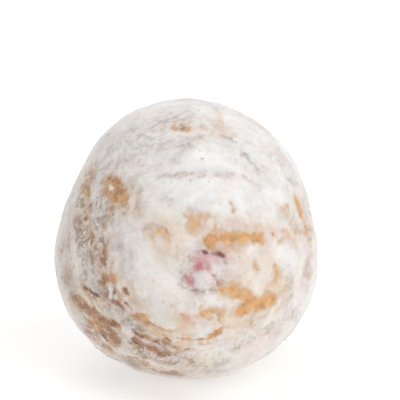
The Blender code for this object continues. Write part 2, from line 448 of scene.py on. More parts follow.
# where the sugar is thinner (-) or thicker (+): half width in mm, how much, how brown the
# crust shows through it, and their lines
sugarPlaces = placed(
    # thin
    (2.2, -0.36, 0.85, ((88, 178), (85, 206), (86, 232), (93, 254))),
    (1.2, -0.22, 0.75, ((102, 218), (104, 238), (106, 256))),
    (1.2, -0.3, 0.75, ((102, 266), (102, 284), (108, 298))),
    # thin along the left outline and darker there: partly thin sugar, partly painted shade
    (2, -0.32, 0.8, ((75, 222), (73, 240))),
    (2.2, -0.5, 0.8, ((66, 248), (60, 257), (64, 270))),
    (1.2, -0.24, 0.8, ((74, 268), (76, 280))),
    (1.2, -0.2, 0.8, ((110, 214), (106, 226), (96, 246))),
    (1, -0.24, 0.8, ((91, 208), (92, 222), (92, 238))),
    (1.8, -0.34, 0.82, ((86, 284), (94, 300), (104, 316))),
    (1.4, -0.24, 0.82, ((72, 298), (76, 310))),
    (1, -0.34, 0.8, ((104, 284), (107, 295))),
    (1, -0.2, 0.8, ((113, 294), (118, 300))),
    (1, -0.26, 0.8, ((86, 302), (94, 312))),
    # thin along the lower left and bottom outline and darker there: partly thin sugar, partly painted
    # shade
    (2.4, -0.4, 0.82, ((94, 322), (114, 340), (138, 350))),
    (2.4, -0.16, 0.82, ((150, 360), (166, 362), (180, 362))),
    (2.4, -0.66, 0.82, ((92, 333), (97, 340), (106, 348))),
    (2, -0.18, 0.82, ((68, 290), (74, 302), (78, 310))),
    (2.4, -0.58, 0.9, ((142, 367), (154, 371), (168, 374))),
    (1.2, -0.16, 0.85, ((126, 358), (134, 360), (142, 361))),
    (1.6, -0.24, 0.6, ((190, 362), (208, 363))),
    (1.4, -0.22, 0.5, ((238, 345), (252, 342))),
    (1.2, -0.2, 0.4, ((257, 213), (266, 218))),
    (1.2, -0.2, 0.6, ((168, 342), (184, 350))),
    (1.4, -0.17, 0.5, ((136, 284), (141, 298), (146, 312))),
    (2, -0.28, 0.62, ((122, 300), (142, 322), (166, 336))),
    (2, -0.17, 0.5, ((118, 146), (136, 132), (156, 122), (184, 114))),
    (2, -0.2, 0.5, ((124, 152), (142, 142), (158, 138))),
    (1.8, -0.26, 0.55, ((134, 180), (144, 168))),
    (1.6, -0.16, 0.5, ((137, 197), (139, 203), (144, 212))),
    (1.2, -0.18, 0.7, ((130, 200), (135, 207), (142, 213))),
    (1.8, -0.22, 0.6, ((180, 364), (206, 370))),
    (1.2, -0.16, 0.5, ((172, 118), (178, 124)), ((182, 372), (204, 373))),
    (1.4, -0.13, 0.5, ((176, 138), (184, 156))),
    (1.2, -0.1, 0.5, ((150, 176), (156, 168), (168, 160))),
    (1.1, -0.14, 0.5, ((212, 136), (222, 138))),
    (0.8, -0.26, 0.8, ((113, 306), (116, 312))),
    (1, -0.24, 0.5, ((111, 270), (120, 276))),
    (1.8, -0.24, 0.55, ((126, 186), (118, 170), (100, 174), (92, 166))),
    (1.6, -0.24, 0.5, ((188, 140), (200, 136), (218, 138))),
    (1.2, -0.18, 0.5, ((192, 126), (200, 130), (206, 128))),
    (1.8, -0.2, 0.5, ((108, 140), (130, 128), (156, 114))),
    (1.6, -0.2, 0.55, ((110, 210), (118, 230), (116, 250))),
    (1.4, -0.26, 0.5, ((128, 214), (132, 220), (138, 225))),
    (2.2, -0.46, 0.42, ((302, 194), (306, 208), (309, 226))),
    (1.2, -0.24, 0.42, ((266, 236), (278, 242)), ((188, 340), (198, 344))),
    (1, -0.18, 0.36, ((290, 246), (302, 250))),
    (1.2, -0.26, 0.45, ((308, 236), (312, 252), (309, 284))),
    (1, -0.14, 0.34, ((248, 318), (262, 314)), ((166, 324), (180, 330))),
    (1.1, -0.16, 0.32, ((228, 280), (240, 284), (250, 288))),
    (0.9, -0.28, 0.36, ((190, 308), (206, 314), (222, 306))),
    (0.7, -0.24, 0.42, ((214, 108), (222, 124), (230, 142))),
    (1.4, -0.16, 0.45, ((306, 280), (302, 300))),
    (1.4, -0.22, 0.4, ((284, 282), (288, 298))),
    (1, -0.16, 0.45, ((254, 322), (262, 320))),
    (1, -0.12, 0.5, ((250, 342), (276, 318))),
    (1.4, -0.3, 0.42, ((212, 342), (226, 339), (250, 328))),
    (1.4, -0.2, 0.42, ((162, 334), (180, 340), (196, 340))),
    (1.2, -0.16, 0.36, ((206, 320), (220, 320), (230, 312))),
    (1.2, -0.34, 0.42, ((188, 299), (205, 302))),
    (1.8, -0.26, 0.42, ((258, 328), (276, 328), (292, 316))),
    (0.8, -0.18, 0.5, ((160, 177), (190, 174), (232, 175))),
    (1.2, -0.3, 0.42, ((172, 308), (178, 314))),
    (1.8, -0.2, 0.4, ((232, 156), (244, 168), (258, 178))),
    (2, -0.1, 0.4, ((252, 146), (276, 152), (294, 186))),
    (0.8, -0.2, 0.4, ((207, 219), (213, 223))),
    (1, -0.12, 0.4, ((254, 315), (264, 313))),
    # thick
    (2.2, 0.18, 0.3, ((200, 160), (213, 150), (226, 166))),
    (2, 0.14, 0.3, ((214, 194), (232, 196))),
    (1.4, 0.1, 0.3, ((150, 196), (160, 206)), ((276, 230), (284, 214))),
    (2, 0.1, 0.3, ((190, 206), (204, 198), (220, 206))),
    (2, 0.12, 0.3, ((146, 250), (152, 270), (170, 262))),
    (2.4, 0.18, 0.3, ((222, 362), (244, 356), (254, 346))),
    (1.8, 0.2, 0.3, ((240, 120), (250, 136))),
    (1.4, 0.14, 0.3, ((156, 160), (170, 152))),
    (1.1, 0.18, 0.3, ((225, 318), (238, 320), (248, 320))),
    (2.4, 0.12, 0.3, ((240, 188), (262, 202), (282, 210))),
    (1.2, 0.16, 0.3, ((178, 242), (188, 234))),
    (0.9, 0.14, 0.3, ((82, 202), (79, 218))),
    (2.2, 0.26, 0.3, ((150, 258), (154, 276), (174, 282))),
    (0.9, 0.44, 0.3, ((245, 246), (249, 249))),
    (1.1, 0.36, 0.3, ((230, 257), (240, 263))),
    (1.5, 0.12, 0.3, ((268, 254), (284, 258), (293, 260))),
    (1.2, 0.26, 0.3, ((160, 302), (168, 307), (192, 310))),
    (1.8, 0.32, 0.3, ((248, 270), (264, 268), (266, 280), (258, 289))),
    (1.4, 0.16, 0.3, ((256, 120), (284, 150), (300, 186))),
    (0.9, 0.24, 0.4, ((78, 266), (84, 276))),
    (0.55, 0.26, 0.4, ((276, 302), (267, 321), (252, 332))),
    (0.9, 0.44, 0.4, ((210, 297), (218, 300), (226, 302), (231, 303))),
    (0.7, 0.42, 0.3, ((217, 246), (226, 246))),
    (1, 0.12, 0.3, ((142, 230), (148, 234)), ((178, 240), (184, 242))),
)

# dabs of sugar that lie on top of everything else: half width in mm, how thick, and their lines
sugarDabs = placed(
    (0.76, 0.84, ((126.5, 330), (127, 341), (126, 353))),
    (0.52, 0.76, ((106, 312), (120, 317.5), (136, 327))),
    (0.24, 0.62, ((94, 302), (97, 307), (101, 311))),
    (0.26, 0.62, ((111, 286), (110, 298))),
    (0.26, 0.62, ((118, 284), (120, 291))),
    (0.22, 0.6, ((120, 297), (127, 300))),
    (0.2, 0.6, ((148, 333), (156, 337))),
    (0.22, 0.6, ((141, 340), (149, 343))),
    (0.2, 0.6, ((103, 329), (108, 332))),
    (0.34, 0.52, ((110, 186), (110.8, 190))),
    (0.34, 0.9, ((108.6, 261), (108.6, 265))),
)

# coarse grains with gaps between them, where the crust shows through under painted shade: half width in
# mm, how dark the gaps are, and their lines
grainPlaces = placed(
    (2, 0.62, ((90, 176), (82, 200), (84, 230), (94, 256))),
    (1.3, 0.6, ((98, 200), (101, 236), (104, 256))),
    (1.2, 0.55, ((94, 262), (98, 284), (106, 298))),
    (1.2, 0.6, ((74, 222), (80, 246), (86, 288))),
    (1, 0.55, ((86, 288), (94, 296), (102, 300))),
    (1.6, 0.5, ((98, 300), (118, 312), (140, 330))),
    (2.2, 0.62, ((78, 300), (92, 322), (112, 336), (140, 350), (172, 358))),
    (1.4, 0.35, ((110, 204), (122, 228), (128, 256), (130, 286))),
    (0.8, 0.45, ((164, 198), (170, 204))),
    (1.6, 0.42, ((112, 148), (146, 136), (180, 120)), ((100, 166), (128, 154), (166, 143))),
    (1.2, 0.36, ((172, 150), (196, 140), (222, 134)), ((132, 182), (142, 192), (140, 208))),
    (0.6, 0.45, ((162, 176), (188, 175), (203, 175)), ((146, 228), (156, 224), (168, 232))),
    (0.5, 0.35, ((214, 174.5), (233, 175)), ((285, 178), (291, 182), (296, 186))),
    (0.4, 0.6, ((188, 111), (191, 113))),
    (0.6, 0.4, ((232, 130), (234, 141))),
    (0.6, 0.5, ((242, 155), (253, 163), (258, 168))),
    (0.5, 0.45, ((243, 176), (251, 180))),
    (1, 0.35, ((280, 210), (290, 224), (300, 232))),
    (0.9, 0.4, ((288, 270), (290, 282), (292, 294))),
    (0.9, 0.35, ((292, 312), (298, 317))),
    (1.2, 0.46, ((238, 346), (257, 332), (268, 328))),
    (1.5, 0.46, ((184, 362), (204, 365), (224, 360))),
    (0.7, 0.45, ((104, 270), (122, 296), (132, 300)),
     ((182, 284), (196, 293), (212, 292), (220, 282))),
    (0.7, 0.4, ((182, 264), (190, 256), (204, 249), (222, 256), (226, 270))),
)

# creases and ridges of the caked sugar: half width in mm, how deep (-) or high (+) they are
# in mm, and their lines
creasePlaces = placed(
    (0.4, -0.1, ((160, 177), (176, 175), (190, 175), (206, 174), (220, 174), (234, 175))),
    (0.35, -0.08, ((139, 134), (156, 124), (180, 113)),
     ((134, 330), (150, 342), (170, 352), (196, 358))),
    (0.45, 0.08, ((168, 131), (180, 121), (196, 118))),
    (0.3, -0.08, ((285, 178), (291, 181), (297, 187))),
    (0.3, -0.07, ((242, 155), (252, 162), (259, 169))),
    (0.35, -0.1, ((134, 316), (150, 327), (168, 334), (190, 338))),
    (0.4, 0.09, ((277, 301), (267, 321), (252, 332))),
    (0.4, 0.1, ((180, 246), (178, 262), (176, 276))),
)

# oil that has soaked into the sugar and tans it: half width in mm, how much, and their lines
tanPlaces = placed(
    # near the top
    (0.8, 1, ((176, 128), (190, 128))),
    (1, 0.5, ((217, 112), (219, 122))),
    (1.3, 0.6, ((219, 130), (226, 137))),
    # round the mouth
    (2.2, 0.55, ((216, 252), (234, 262), (254, 278), (246, 288))),
    (2.6, 0.62, ((160, 226), (176, 238), (172, 262))),
    (1.6, 0.66, ((150, 236), (166, 254))),
    (2, 0.74, ((206, 228), (234, 227))),
    (2.2, 0.68, ((260, 234), (266, 256), (268, 284))),
    (1.5, 0.75, ((228, 325), (248, 321))),
    (1.2, 1, ((240, 291), (250, 297), (258, 299))),
    (1.6, 0.9, ((206, 242), (222, 248), (242, 246))),
    (1.4, 0.5, ((246, 240), (262, 241))),
    (0.9, 0.8, ((208, 222), (214, 226))),
    (1.8, 1, ((224, 288), (240, 299), (262, 300), (274, 284))),
    (1.7, 0.9, ((184, 323), (190, 320), (212, 315), (240, 311), (266, 307))),
    (1.8, 0.65, ((150, 229), (160, 238), (164, 248))),
    (1.6, 0.85, ((192, 229), (204, 226), (216, 223))),
    (1.4, 0.4, ((220, 223), (250, 221))),
    (1.2, 0.8, ((224, 232), (242, 231), (258, 229))),
    (1.8, 0.6, ((264, 232), (280, 228), (294, 238))),
    (1.5, 0.9, ((164, 257), (168, 248))),
    (1.6, 1, ((202, 318), (214, 320), (221, 317))),
    (1.4, 0.9, ((252, 316), (266, 312))),
    (1.8, 0.75, ((272, 282), (284, 290), (276, 306))),
    (1.6, 0.8, ((226, 256), (240, 262), (256, 264))),
    (0.9, 1, ((224, 257), (232, 259))),
    (1.4, 0.95, ((226, 277), (244, 273))),
    (1.1, 1, ((224, 284), (238, 286))),
    (1.3, 1, ((186, 320), (202, 320), (216, 318))),
    (1.6, 0.6, ((160, 306), (186, 320), (210, 318))),
    (2.2, 0.3, ((220, 342), (246, 334), (262, 322))),
    # right edge
    (1.8, 0.75, ((298, 204), (303, 214), (304, 226))),
    (1.4, 0.6, ((282, 212), (292, 226))),
    # down the left and along the bottom
    (1.6, 1, ((70, 282), (76, 296), (84, 312))),
    (1, 0.6, ((167, 333), (180, 335))),
    (1.2, 0.4, ((130, 190), (134, 200), (136, 208))),
    (1.6, 0.8, ((84, 290), (100, 308), (114, 320)), ((118, 306), (134, 318))),
    (1.8, 0.9, ((68, 278), (78, 292), (84, 308))),
    (1.8, 0.95, ((140, 330), (152, 338), (166, 348))),
    (1.4, 0.95, ((140, 344), (152, 352), (168, 356))),
    (1.8, 0.58, ((86, 182), (84, 215), (92, 248), (104, 276))),
    (1.8, 0.55, ((110, 184), (120, 200), (130, 210))),
    # darker at the left outline: partly soaked tan, partly painted shade
    (1.4, 0.4, ((58, 236), (60, 256))),
    (2.2, 0.8, ((84, 300), (112, 336), (140, 346), (176, 346))),
    (2.2, 0.7, ((112, 282), (134, 306), (150, 326), (172, 338))),
    # darker along the lower left outline: partly soaked tan, partly painted shade
    (1.2, 0.6, ((70, 300), (92, 338), (104, 348), (150, 366))),
)

# damp sugar that has gone grey, and painted shade along the outline at the left and the bottom: half
# width in mm, how much, and their lines
greyPlaces = placed(
    (2.2, 0.25, ((92, 182), (114, 174), (136, 168), (160, 156))),
    (1.4, 0.35, ((172, 146), (190, 144))),
    (1.8, 0.42, ((106, 214), (112, 240), (118, 262))),
    # painted shade along the left outline
    (2, 0.75, ((69, 216), (65, 240), (66, 264), (72, 284))),
    (1.6, 0.4, ((90, 262), (98, 288), (104, 300))),
    (0.7, 0.6, ((106, 312), (120, 317), (138, 326))),
    # painted shade along the bottom and lower left outline
    (1.8, 0.75, ((128, 363), (150, 370), (178, 375))),
    (1.8, 0.6, ((84, 324), (92, 336), (104, 348))),
    (2, 0.4, ((180, 368), (210, 370), (240, 364))),
    (1, 0.4, ((178, 254), (190, 252), (198, 250))),
    (0.6, 0.5, ((180, 270), (180, 284))),
    (1, 0.35, ((300, 240), (306, 262), (302, 284))),
    (1.6, 0.3, ((150, 118), (170, 108), (196, 106))),
    (1.5, 0.62, ((131, 190), (134, 199), (133, 210))),
    (1.2, 0.42, ((180, 142), (185, 150), (179, 158))),
    (0.28, 0.95, ((188, 111), (192, 112))),
    (0.24, 0.7, ((152, 126), (166, 120.5), (176, 115), (186, 112)),
     ((106, 136), (112, 133), (117, 135)), ((184, 139.5), (190, 138.5))),
    (0.22, 0.6, ((126, 130), (134, 129), (141, 128)), ((156, 143), (162, 144))),
    (0.26, 0.7, ((155, 139), (162, 139))),
    (0.26, 0.8, ((228, 138), (236, 142))),
    (0.22, 0.5, ((216, 143), (226, 146), (234, 150))),
    (0.28, 0.9, ((241, 154), (248, 156))),
    (0.34, 0.5, ((250, 160), (259, 169)), ((215, 176), (234, 175))),
    (0.24, 0.5, ((269, 153), (275, 155), (280, 155))),
    (0.24, 0.55, ((286, 179), (294, 183), (300, 187))),
    (0.34, 0.55, ((160, 177), (176, 175), (190, 173), (204, 172))),
    (0.26, 0.55, ((164, 196), (169, 200))),
    (0.6, 0.35, ((244, 178), (252, 184), (260, 190))),
)

# pink from the filling: half width in mm, how much, and their lines
pinkPlaces = placed(
    (0.7, 0.35, ((196, 254), (204, 252), (214, 253), (226, 258))),
    (0.6, 0.2, ((214, 247), (226, 250))),
    (0.5, 0.2, ((183, 284), (196, 291), (212, 288), (219, 280))),
    (0.8, 0.25, ((303, 240), (308, 256), (306, 276))),
    (0.7, 0.25, ((181, 316), (190, 318), (200, 320))),
    (0.7, 0.2, ((224, 226), (236, 222), (246, 226))),
    (0.6, 0.16, ((126, 332), (126, 350))),
    (0.8, 0.14, ((190, 262), (186, 270))),
    (2.6, 0.1, ((298, 290), (284, 328), (250, 354))),
    (1.4, 0.18, ((72, 284), (78, 298), (92, 318))),
    (1.6, 0.15, ((136, 338), (152, 348), (170, 354))),
    (1.2, 0.16, ((210, 232), (226, 240), (240, 248))),
)

# dark gaps round the filling, painted shade in the crevices under its rim: half width in mm, how dark,
# and the line of each
mouthGapShades = (
    (0.38, 0.84, ((203.5, 251.8), (206.5, 252.3))),
    (0.22, 0.42, ((197, 252.5), (199.5, 252))),
    (0.22, 0.28, ((208, 253), (212, 253.5))),
    (0.34, 0.6, ((213, 254), (219, 254.5))),
    (0.36, 0.82, ((219.5, 253.7), (223, 255))),
    (0.3, 0.44, ((188.5, 257), (190.5, 260))),
    (0.22, 0.4, ((181, 271), (181, 273))),
    (0.22, 0.44, ((182, 279), (182, 282))),
    (0.22, 0.4, ((182, 286), (184, 288))),
    (0.32, 0.5, ((193, 290), (197.5, 290.5))),
    (0.18, 0.4, ((201, 292), (203, 292))),
    (0.18, 0.35, ((209, 290), (212, 290))),
    (0.24, 0.55, ((212.5, 274.5), (215.5, 276))),
    (0.24, 0.4, ((217, 280), (218.5, 284))),
    (0.24, 0.42, ((224.5, 261.5), (226, 262.5))),
)

# on the sides that the picture doesn't show; sizes in mm, and ranges from the least to the most
unseen = {
    "seed": 11,
    "edge": 0.1,              # how far the single ones may come round the outline
    "slant": 0.4,             # how far they turn away from the streaks
    "bareSlant": 0.6,
    "clusters": 15,           # of bare places, with soaked and thin sugar round them
    "scatter": 0.14,          # how far those of a cluster lie apart
    "tones": (0.35, 0.8),
    "toneSpread": 0.08,
    "bareWidths": (0.3, 1.15),
    "bareness": (0.4, 0.95),
    "thinner": -0.3,
    "thinLength": 5,
    "spots": 16,              # small bare places by themselves
    "spotWidths": (0.24, 0.54),
    "spotLengths": (0, 1.6),
    "spotTones": (0.4, 0.8),
    "spotBareness": 0.7,
    "thick": 10,
    "thicker": 0.22,
    "thickTone": 0.3,
    "thickLength": 8,
    "sugarWidths": (1.4, 2.8),
    "soakedWidths": (1.6, 2.8),
    "soaked": (0.35, 0.85),
    "grainy": 14,
    "grainyLength": 6,
    "grainWidths": (1, 2.4),
    "graininess": (0.35, 0.65),
    "creases": 22,
    "creaseSlant": 0.2,
    "creaseWidths": (0.35, 0.5),
    "creaseLengths": (3, 7),
    "creaseDepth": 0.09,
}


def unseenWay(chance, limit):
    # a direction that points away from the camera, but not straight down
    while True:
        way = Vector(chance.standard_normal(3)).normalized()
        if way.dot(eye["towards"]) < limit and way.z > -0.8:
            return way


def wiggle(chance, way, length, slant):
    # a line over the crust that sets out along the streaks, give or take the slant, and strays
    heading = slant * chance.standard_normal()
    line = []
    for _ in range(4):
        line.append(crustAlong(way))
        along = Matrix.Rotation(heading, 3, way) @ streakPole.cross(way).normalized()
        way = (way + along * length * millimetre / 3 / crust["radius"]).normalized()
        heading += 0.5 * chance.standard_normal()
    return line


def addUnseenPlaces():
    chance = np.random.default_rng(unseen["seed"])

    def within(name, power=1):
        low, high = unseen[name]
        return low + (high - low) * chance.random()**power

    for index in range(unseen["clusters"]):
        middle = unseenWay(chance, 0)
        tone = within("tones")
        for _ in range(2 + index % 4):
            way = (middle + unseen["scatter"] * Vector(chance.standard_normal(3))).normalized()
            wide = within("bareWidths", 1.5)
            # the wide ones are short
            length = 0.5 + 4.5 * chance.random() * (1.4 - wide)
            line = wiggle(chance, way, length, unseen["bareSlant"])
            bare = within("bareness")
            shade = tone + unseen["toneSpread"] * chance.standard_normal()
            barePlaces.append((wide, bare, shade, line))
        line = wiggle(chance, middle, unseen["thinLength"], unseen["slant"])
        sugarPlaces.append((within("sugarWidths"), unseen["thinner"], tone, line))
        tinted = greyPlaces if index % 4 == 1 else tanPlaces
        tinted.append((within("soakedWidths"), within("soaked"), line))
    for _ in range(unseen["spots"]):
        way = unseenWay(chance, unseen["edge"])
        line = wiggle(chance, way, within("spotLengths"), unseen["bareSlant"])
        barePlaces.append((within("spotWidths"), unseen["spotBareness"], within("spotTones"), line))
    for _ in range(unseen["thick"]):
        way = unseenWay(chance, unseen["edge"])
        line = wiggle(chance, way, unseen["thickLength"], unseen["slant"])
        sugarPlaces.append((within("sugarWidths"), unseen["thicker"], unseen["thickTone"], line))
    for _ in range(unseen["grainy"]):
        way = unseenWay(chance, unseen["edge"])
        line = wiggle(chance, way, unseen["grainyLength"], unseen["slant"])
        grainPlaces.append((within("grainWidths"), within("graininess"), line))
    for index in range(unseen["creases"]):
        way = unseenWay(chance, unseen["edge"])
        line = wiggle(chance, way, within("creaseLengths"), unseen["creaseSlant"])
        height = unseen["creaseDepth"] * (1 if index % 2 else -1)
        creasePlaces.append((within("creaseWidths"), height, line))


addUnseenPlaces()


# where each kind of stroke starts to fade and where it ends, as shares of its half width
fades = {
    "sugar": (0.1, 1.7),
    "bare": (0, 2),
    "dab": (0.2, 1.7),
    "grains": (0.2, 1.7),
    "soaked": (0, 1.8),
    "pink": (0.2, 1.6),
    "crease": (0, 1.5),
    "gap": (0, 1.9),
    "filling": (0.1, 1.8),
}

# how the crust is coated where no stroke says otherwise
coat = {
    "sugar": 0.82,            # how thick it is
    "patches": 0.1,           # and how much more or less of it each kind of wave makes
    "bands": 0.08,
    "flakes": 0.1,
    "smallFlakes": 0.08,
    "flakeEdge": 0.12,
    "brown": 0.52,            # of the crust under it
    # browner towards the left: partly the crust's own tone, partly painted shade on the side away from
    # the light
    "brownAndShadeLeft": 0.3,         # more of it towards the left
    "browning": 0.15,
    "brownWeight": 0.15,      # how much that counts against the strokes' own browns
    "sugarWeight": 0.3,
    "bareWeight": 4,
    "barer": 0.14,            # how far below nothing a bare place goes
    "grains": 0.08,
    "graininess": 0.1,
    "tan": 0.25,              # from oil, and more of it downwards and towards the left
    "tanDown": 0.38,
    "tanLeft": 0.33,
    "tanMost": 0.27,
    "dabsClean": 0.8,         # how much of the tan a dab hides
    "grey": 0.04,
    "greyUp": 0.06,
    "greyRight": 0.05,
}

# the crust's relief, in metres
relief = {
    "sugar": 0.0002,          # from bare crust up to thick sugar
    "thickness": (-0.1, 1.1),  # between which it rises
    "level": 0.72,            # the share of that rise where it is level with the plain solid
    "humps": 0.00013,
    "ridges": 0.00006,
    "bumps": 0.00002,
    "cakedBumps": 0.00004,    # more of them where the sugar is caked, from hardly to fully
    "caked": (0.2, 0.8),
    "pressed": (-0.0002, 0.003),       # heights above the table where it starts to rise and has
}


def fallOff(points, halfWidth, line, kind):
    reach = halfWidth * millimetre
    fadesFrom, endsAt = fades[kind]
    return 1 - smoothStep(fadesFrom * reach, endsAt * reach, awayFromLine(points, line))


def highest(values, points, places, kind):
    # the values, or the strongest of the strokes where one is stronger
    for halfWidth, amount, line in places:
        values = np.maximum(values, amount * fallOff(points, halfWidth, line, kind))
    return values


def fray(points):
    # strays that make each edge ragged, and more so along the streaks
    strayed = points + straysAt(points, *strays["coarse"])
    strayed += straysAt(points, *strays["fine"])
    tangent = unit(np.cross(np.array(streakPole), points - np.array(waist)))
    return strayed + strays["along"] * streaksAt(points, *drawnWaves["strays"])[:, None] * tangent


def gapsAt(points):
    # how dark the painted shade in the gaps round the filling is, for points on either side of the
    # mouth's edge
    local = toMouth(points)
    near = (np.hypot(local[:, 0], local[:, 1]) < mouth["fitFrom"]) & (local[:, 2] > 0)
    flat = local * np.array([1, 1, 0])
    flat[:, :2] += straysAt(points, *strays["gaps"])[:, :2]
    lines = [(halfWidth, dark, flatLine(pixels)) for halfWidth, dark, pixels in mouthGapShades]
    return highest(np.zeros(len(points)), flat, lines, "gap") * near


def flakesIn(values):
    # turns waves into flakes with edges, from -0.5 to 0.5
    return smoothStep(-coat["flakeEdge"], coat["flakeEdge"], values) - 0.5


def layerSugar(points, frayed, toRight):
    # how thick the sugar is, how brown the crust under it is and where dabs lie on top
    sugar = coat["sugar"] + coat["patches"] * noiseAt(points, *waves["patches"])
    sugar += coat["bands"] * streaksAt(points, *drawnWaves["bands"])
    sugar += coat["flakes"] * flakesIn(streaksAt(points, *drawnWaves["flakes"]))
    sugar += coat["smallFlakes"] * flakesIn(noiseAt(points, *waves["smallFlakes"]))
    weight = np.full(len(points), coat["brownWeight"])
    plain = coat["brown"] - coat["brownAndShadeLeft"] * toRight
    brown = weight * (plain + coat["browning"] * noiseAt(points, *waves["browning"]))
    for halfWidth, change, tone, line in sugarPlaces:
        fall = fallOff(frayed, halfWidth, line, "sugar")
        sugar += change * fall
        brown += tone * fall * coat["sugarWeight"]
        weight += fall * coat["sugarWeight"]
    kept = np.ones(len(points))
    for halfWidth, bare, tone, line in barePlaces:
        fall = fallOff(frayed, halfWidth, line, "bare")
        kept *= 1 - bare * fall
        brown += tone * bare * fall**2 * coat["bareWeight"]
        weight += bare * fall**2 * coat["bareWeight"]
    sugar = sugar * kept - coat["barer"] * (1 - kept)
    dabbed = np.zeros(len(points))
    for halfWidth, amount, line in sugarDabs:
        fall = fallOff(frayed, halfWidth, line, "dab")
        sugar += (amount - sugar) * fall
        dabbed = np.maximum(dabbed, fall)
    return sugar, brown / weight, dabbed


def paintCrust(points):
    frayed = fray(points)
    toRight, _, upwards = ((points - np.array(waist)) / crust["radius"]).T
    sugar, brown, dabbed = layerSugar(points, frayed, toRight)
    grainy = coat["graininess"] * np.maximum(noiseAt(points, *waves["graininess"]), 0)
    tan = coat["tan"] - coat["tanDown"] * upwards - coat["tanLeft"] * toRight
    tan = highest(np.clip(tan, 0, coat["tanMost"]), frayed, tanPlaces, "soaked")
    grey = coat["grey"] + coat["greyUp"] * np.maximum(upwards, 0)
    grey += coat["greyRight"] * np.maximum(toRight, 0)
    return {
        "sugar": sugar,
        "brown": brown,
        "grains": highest(coat["grains"] + grainy, frayed, grainPlaces, "grains"),
        "pink": highest(np.zeros(len(points)), frayed, pinkPlaces, "pink"),
        "tan": tan * (1 - coat["dabsClean"] * dabbed),
        "grey": highest(grey, frayed, greyPlaces, "soaked"),
        "pit": gapsAt(points),
    }


def reliefOf(points, sugar):
    caked = smoothStep(*relief["caked"], sugar)
    height = relief["sugar"] * (smoothStep(*relief["thickness"], sugar) - relief["level"])
    height += relief["humps"] * noiseAt(points, *waves["humps"])
    height += relief["ridges"] * streaksAt(points, *drawnWaves["ridges"])
    height += (relief["bumps"] + relief["cakedBumps"] * caked) * noiseAt(points, *waves["bumps"])
    frayed = fray(points)
    for halfWidth, deep, line in creasePlaces:
        height += deep * millimetre * fallOff(frayed, halfWidth, line, "crease")
    return height * smoothStep(*relief["pressed"], points[:, 2])


paint = paintCrust(base)
raised = reliefOf(base, paint["sugar"])
print("sugar laid on the crust")


def mouthRim(angle):
    # how far out and how high the mouth's rim is, all round
    out = around(rimReach, angle) * mouth["rimWidening"]
    x, y = out * np.cos(angle) / mouthTop, out * np.sin(angle) / mouthTop
    radius = bowlTerms(x, y) @ mouthFit
    return out, np.sqrt(np.maximum(radius**2 - out**2, 0)) - mouth["lipDrop"]


def openMouth(points, height):
    # lifts the points by their height; those inside the rim go down the channel and close its end
    local = toMouth(points)
    off = np.hypot(local[:, 0], local[:, 1])
    angle = np.arctan2(local[:, 1], local[:, 0])
    rim, rimHeight = mouthRim(angle)
    wall = around(channelReach, angle)
    front = local[:, 2] > 0
    off = np.where(front & (np.abs(off - rim) < mouth["snap"]), rim, off)
    out = unit(points - np.array(waist))
    lip = np.where(front, 1 - smoothStep(0, 1, (off - rim) / mouth["lipWidth"]), 0)
    lifted = points + out * (height - mouth["lipDrop"] * lip**2)[:, None]
    down = 1 - off / rim
    inside = front & (down > 0)
    shares, depths, narrowings = zip(*mouth["wall"])
    depth = np.interp(down, shares, depths) * millimetre
    narrow = np.interp(down, shares, narrowings)
    reach = (rim * (1 - narrow) + wall * narrow) * np.interp(down, *zip(*mouth["closing"]))
    sunk = np.stack([reach * np.cos(angle), reach * np.sin(angle), rimHeight - depth], axis=1)
    sunk = fromMouth(sunk) + out * (height * np.interp(down, *zip(*mouth["calming"])))[:, None]
    return np.where(inside[:, None], sunk, lifted), np.where(inside, down, 0)


def giveMesh(mesh, points, attributes):
    mesh.vertices.foreach_set("co", points.ravel())
    for name, values in attributes.items():
        kind, field = ("FLOAT_VECTOR", "vector") if values.ndim == 2 else ("FLOAT", "value")
        made = mesh.attributes.new(name, kind, "POINT")
        made.data.foreach_set(field, values.astype(np.float32).ravel())
    mesh.polygons.foreach_set("use_smooth", [True] * len(mesh.polygons))
    mesh.update()


def addPiece(name, mesh, material):
    made = bpy.data.objects.new(name, mesh)
    bpy.context.scene.collection.objects.link(made)
    made.data.materials.append(material)
    return made


def addNode(tree, kind, inputs=(), **settings):
    made = tree.nodes.new(kind)
    for name, value in settings.items():
        setattr(made, name, value)
    for name, value in dict(inputs).items():
        if isinstance(value, bpy.types.NodeSocket):
            tree.links.new(value, made.inputs[name])
        else:
            made.inputs[name].default_value = value
    return made


def calc(tree, operation, *values):
    return addNode(tree, "ShaderNodeMath", enumerate(values), operation=operation).outputs[0]


def times(tree, first, *others):
    for other in others:
        first = calc(tree, "MULTIPLY", first, other)
    return first


def oneLess(tree, value):
    # what the value leaves of one
    return calc(tree, "SUBTRACT", 1, value)


def ease(tree, value, low, high, start=0, end=1):
    limits = {"Value": value, "From Min": low, "From Max": high, "To Min": start, "To Max": end}
    return addNode(tree, "ShaderNodeMapRange", limits, interpolation_type="SMOOTHSTEP").outputs[0]


def blendColours(tree, share, first, second, way="MIX"):
    colours = {0: share, 6: first, 7: second}
    made = addNode(tree, "ShaderNodeMix", colours, data_type="RGBA", blend_type=way)
    return made.outputs[2]


def colour(red, green, blue):
    # from 0 to 255, as a picture program gives it
    linear = [((c / 255 + 0.055) / 1.055)**2.4 for c in (red, green, blue)]
    return (*linear, 1)


def grainNoise(tree, at, scale, detail=1):
    inputs = {"Vector": at, "Scale": scale, "Detail": detail, "Roughness": 0.55}
    return addNode(tree, "ShaderNodeTexNoise", inputs).outputs[0]


def rampOf(tree, value, stops):
    ramp = addNode(tree, "ShaderNodeValToRGB", {0: value})
    made = ramp.color_ramp.elements
    for index, (place, shade) in enumerate(stops):
        stop = made[index] if index < 2 else made.new(place)
        stop.position = place
        stop.color = colour(*shade)
    return ramp.outputs[0]


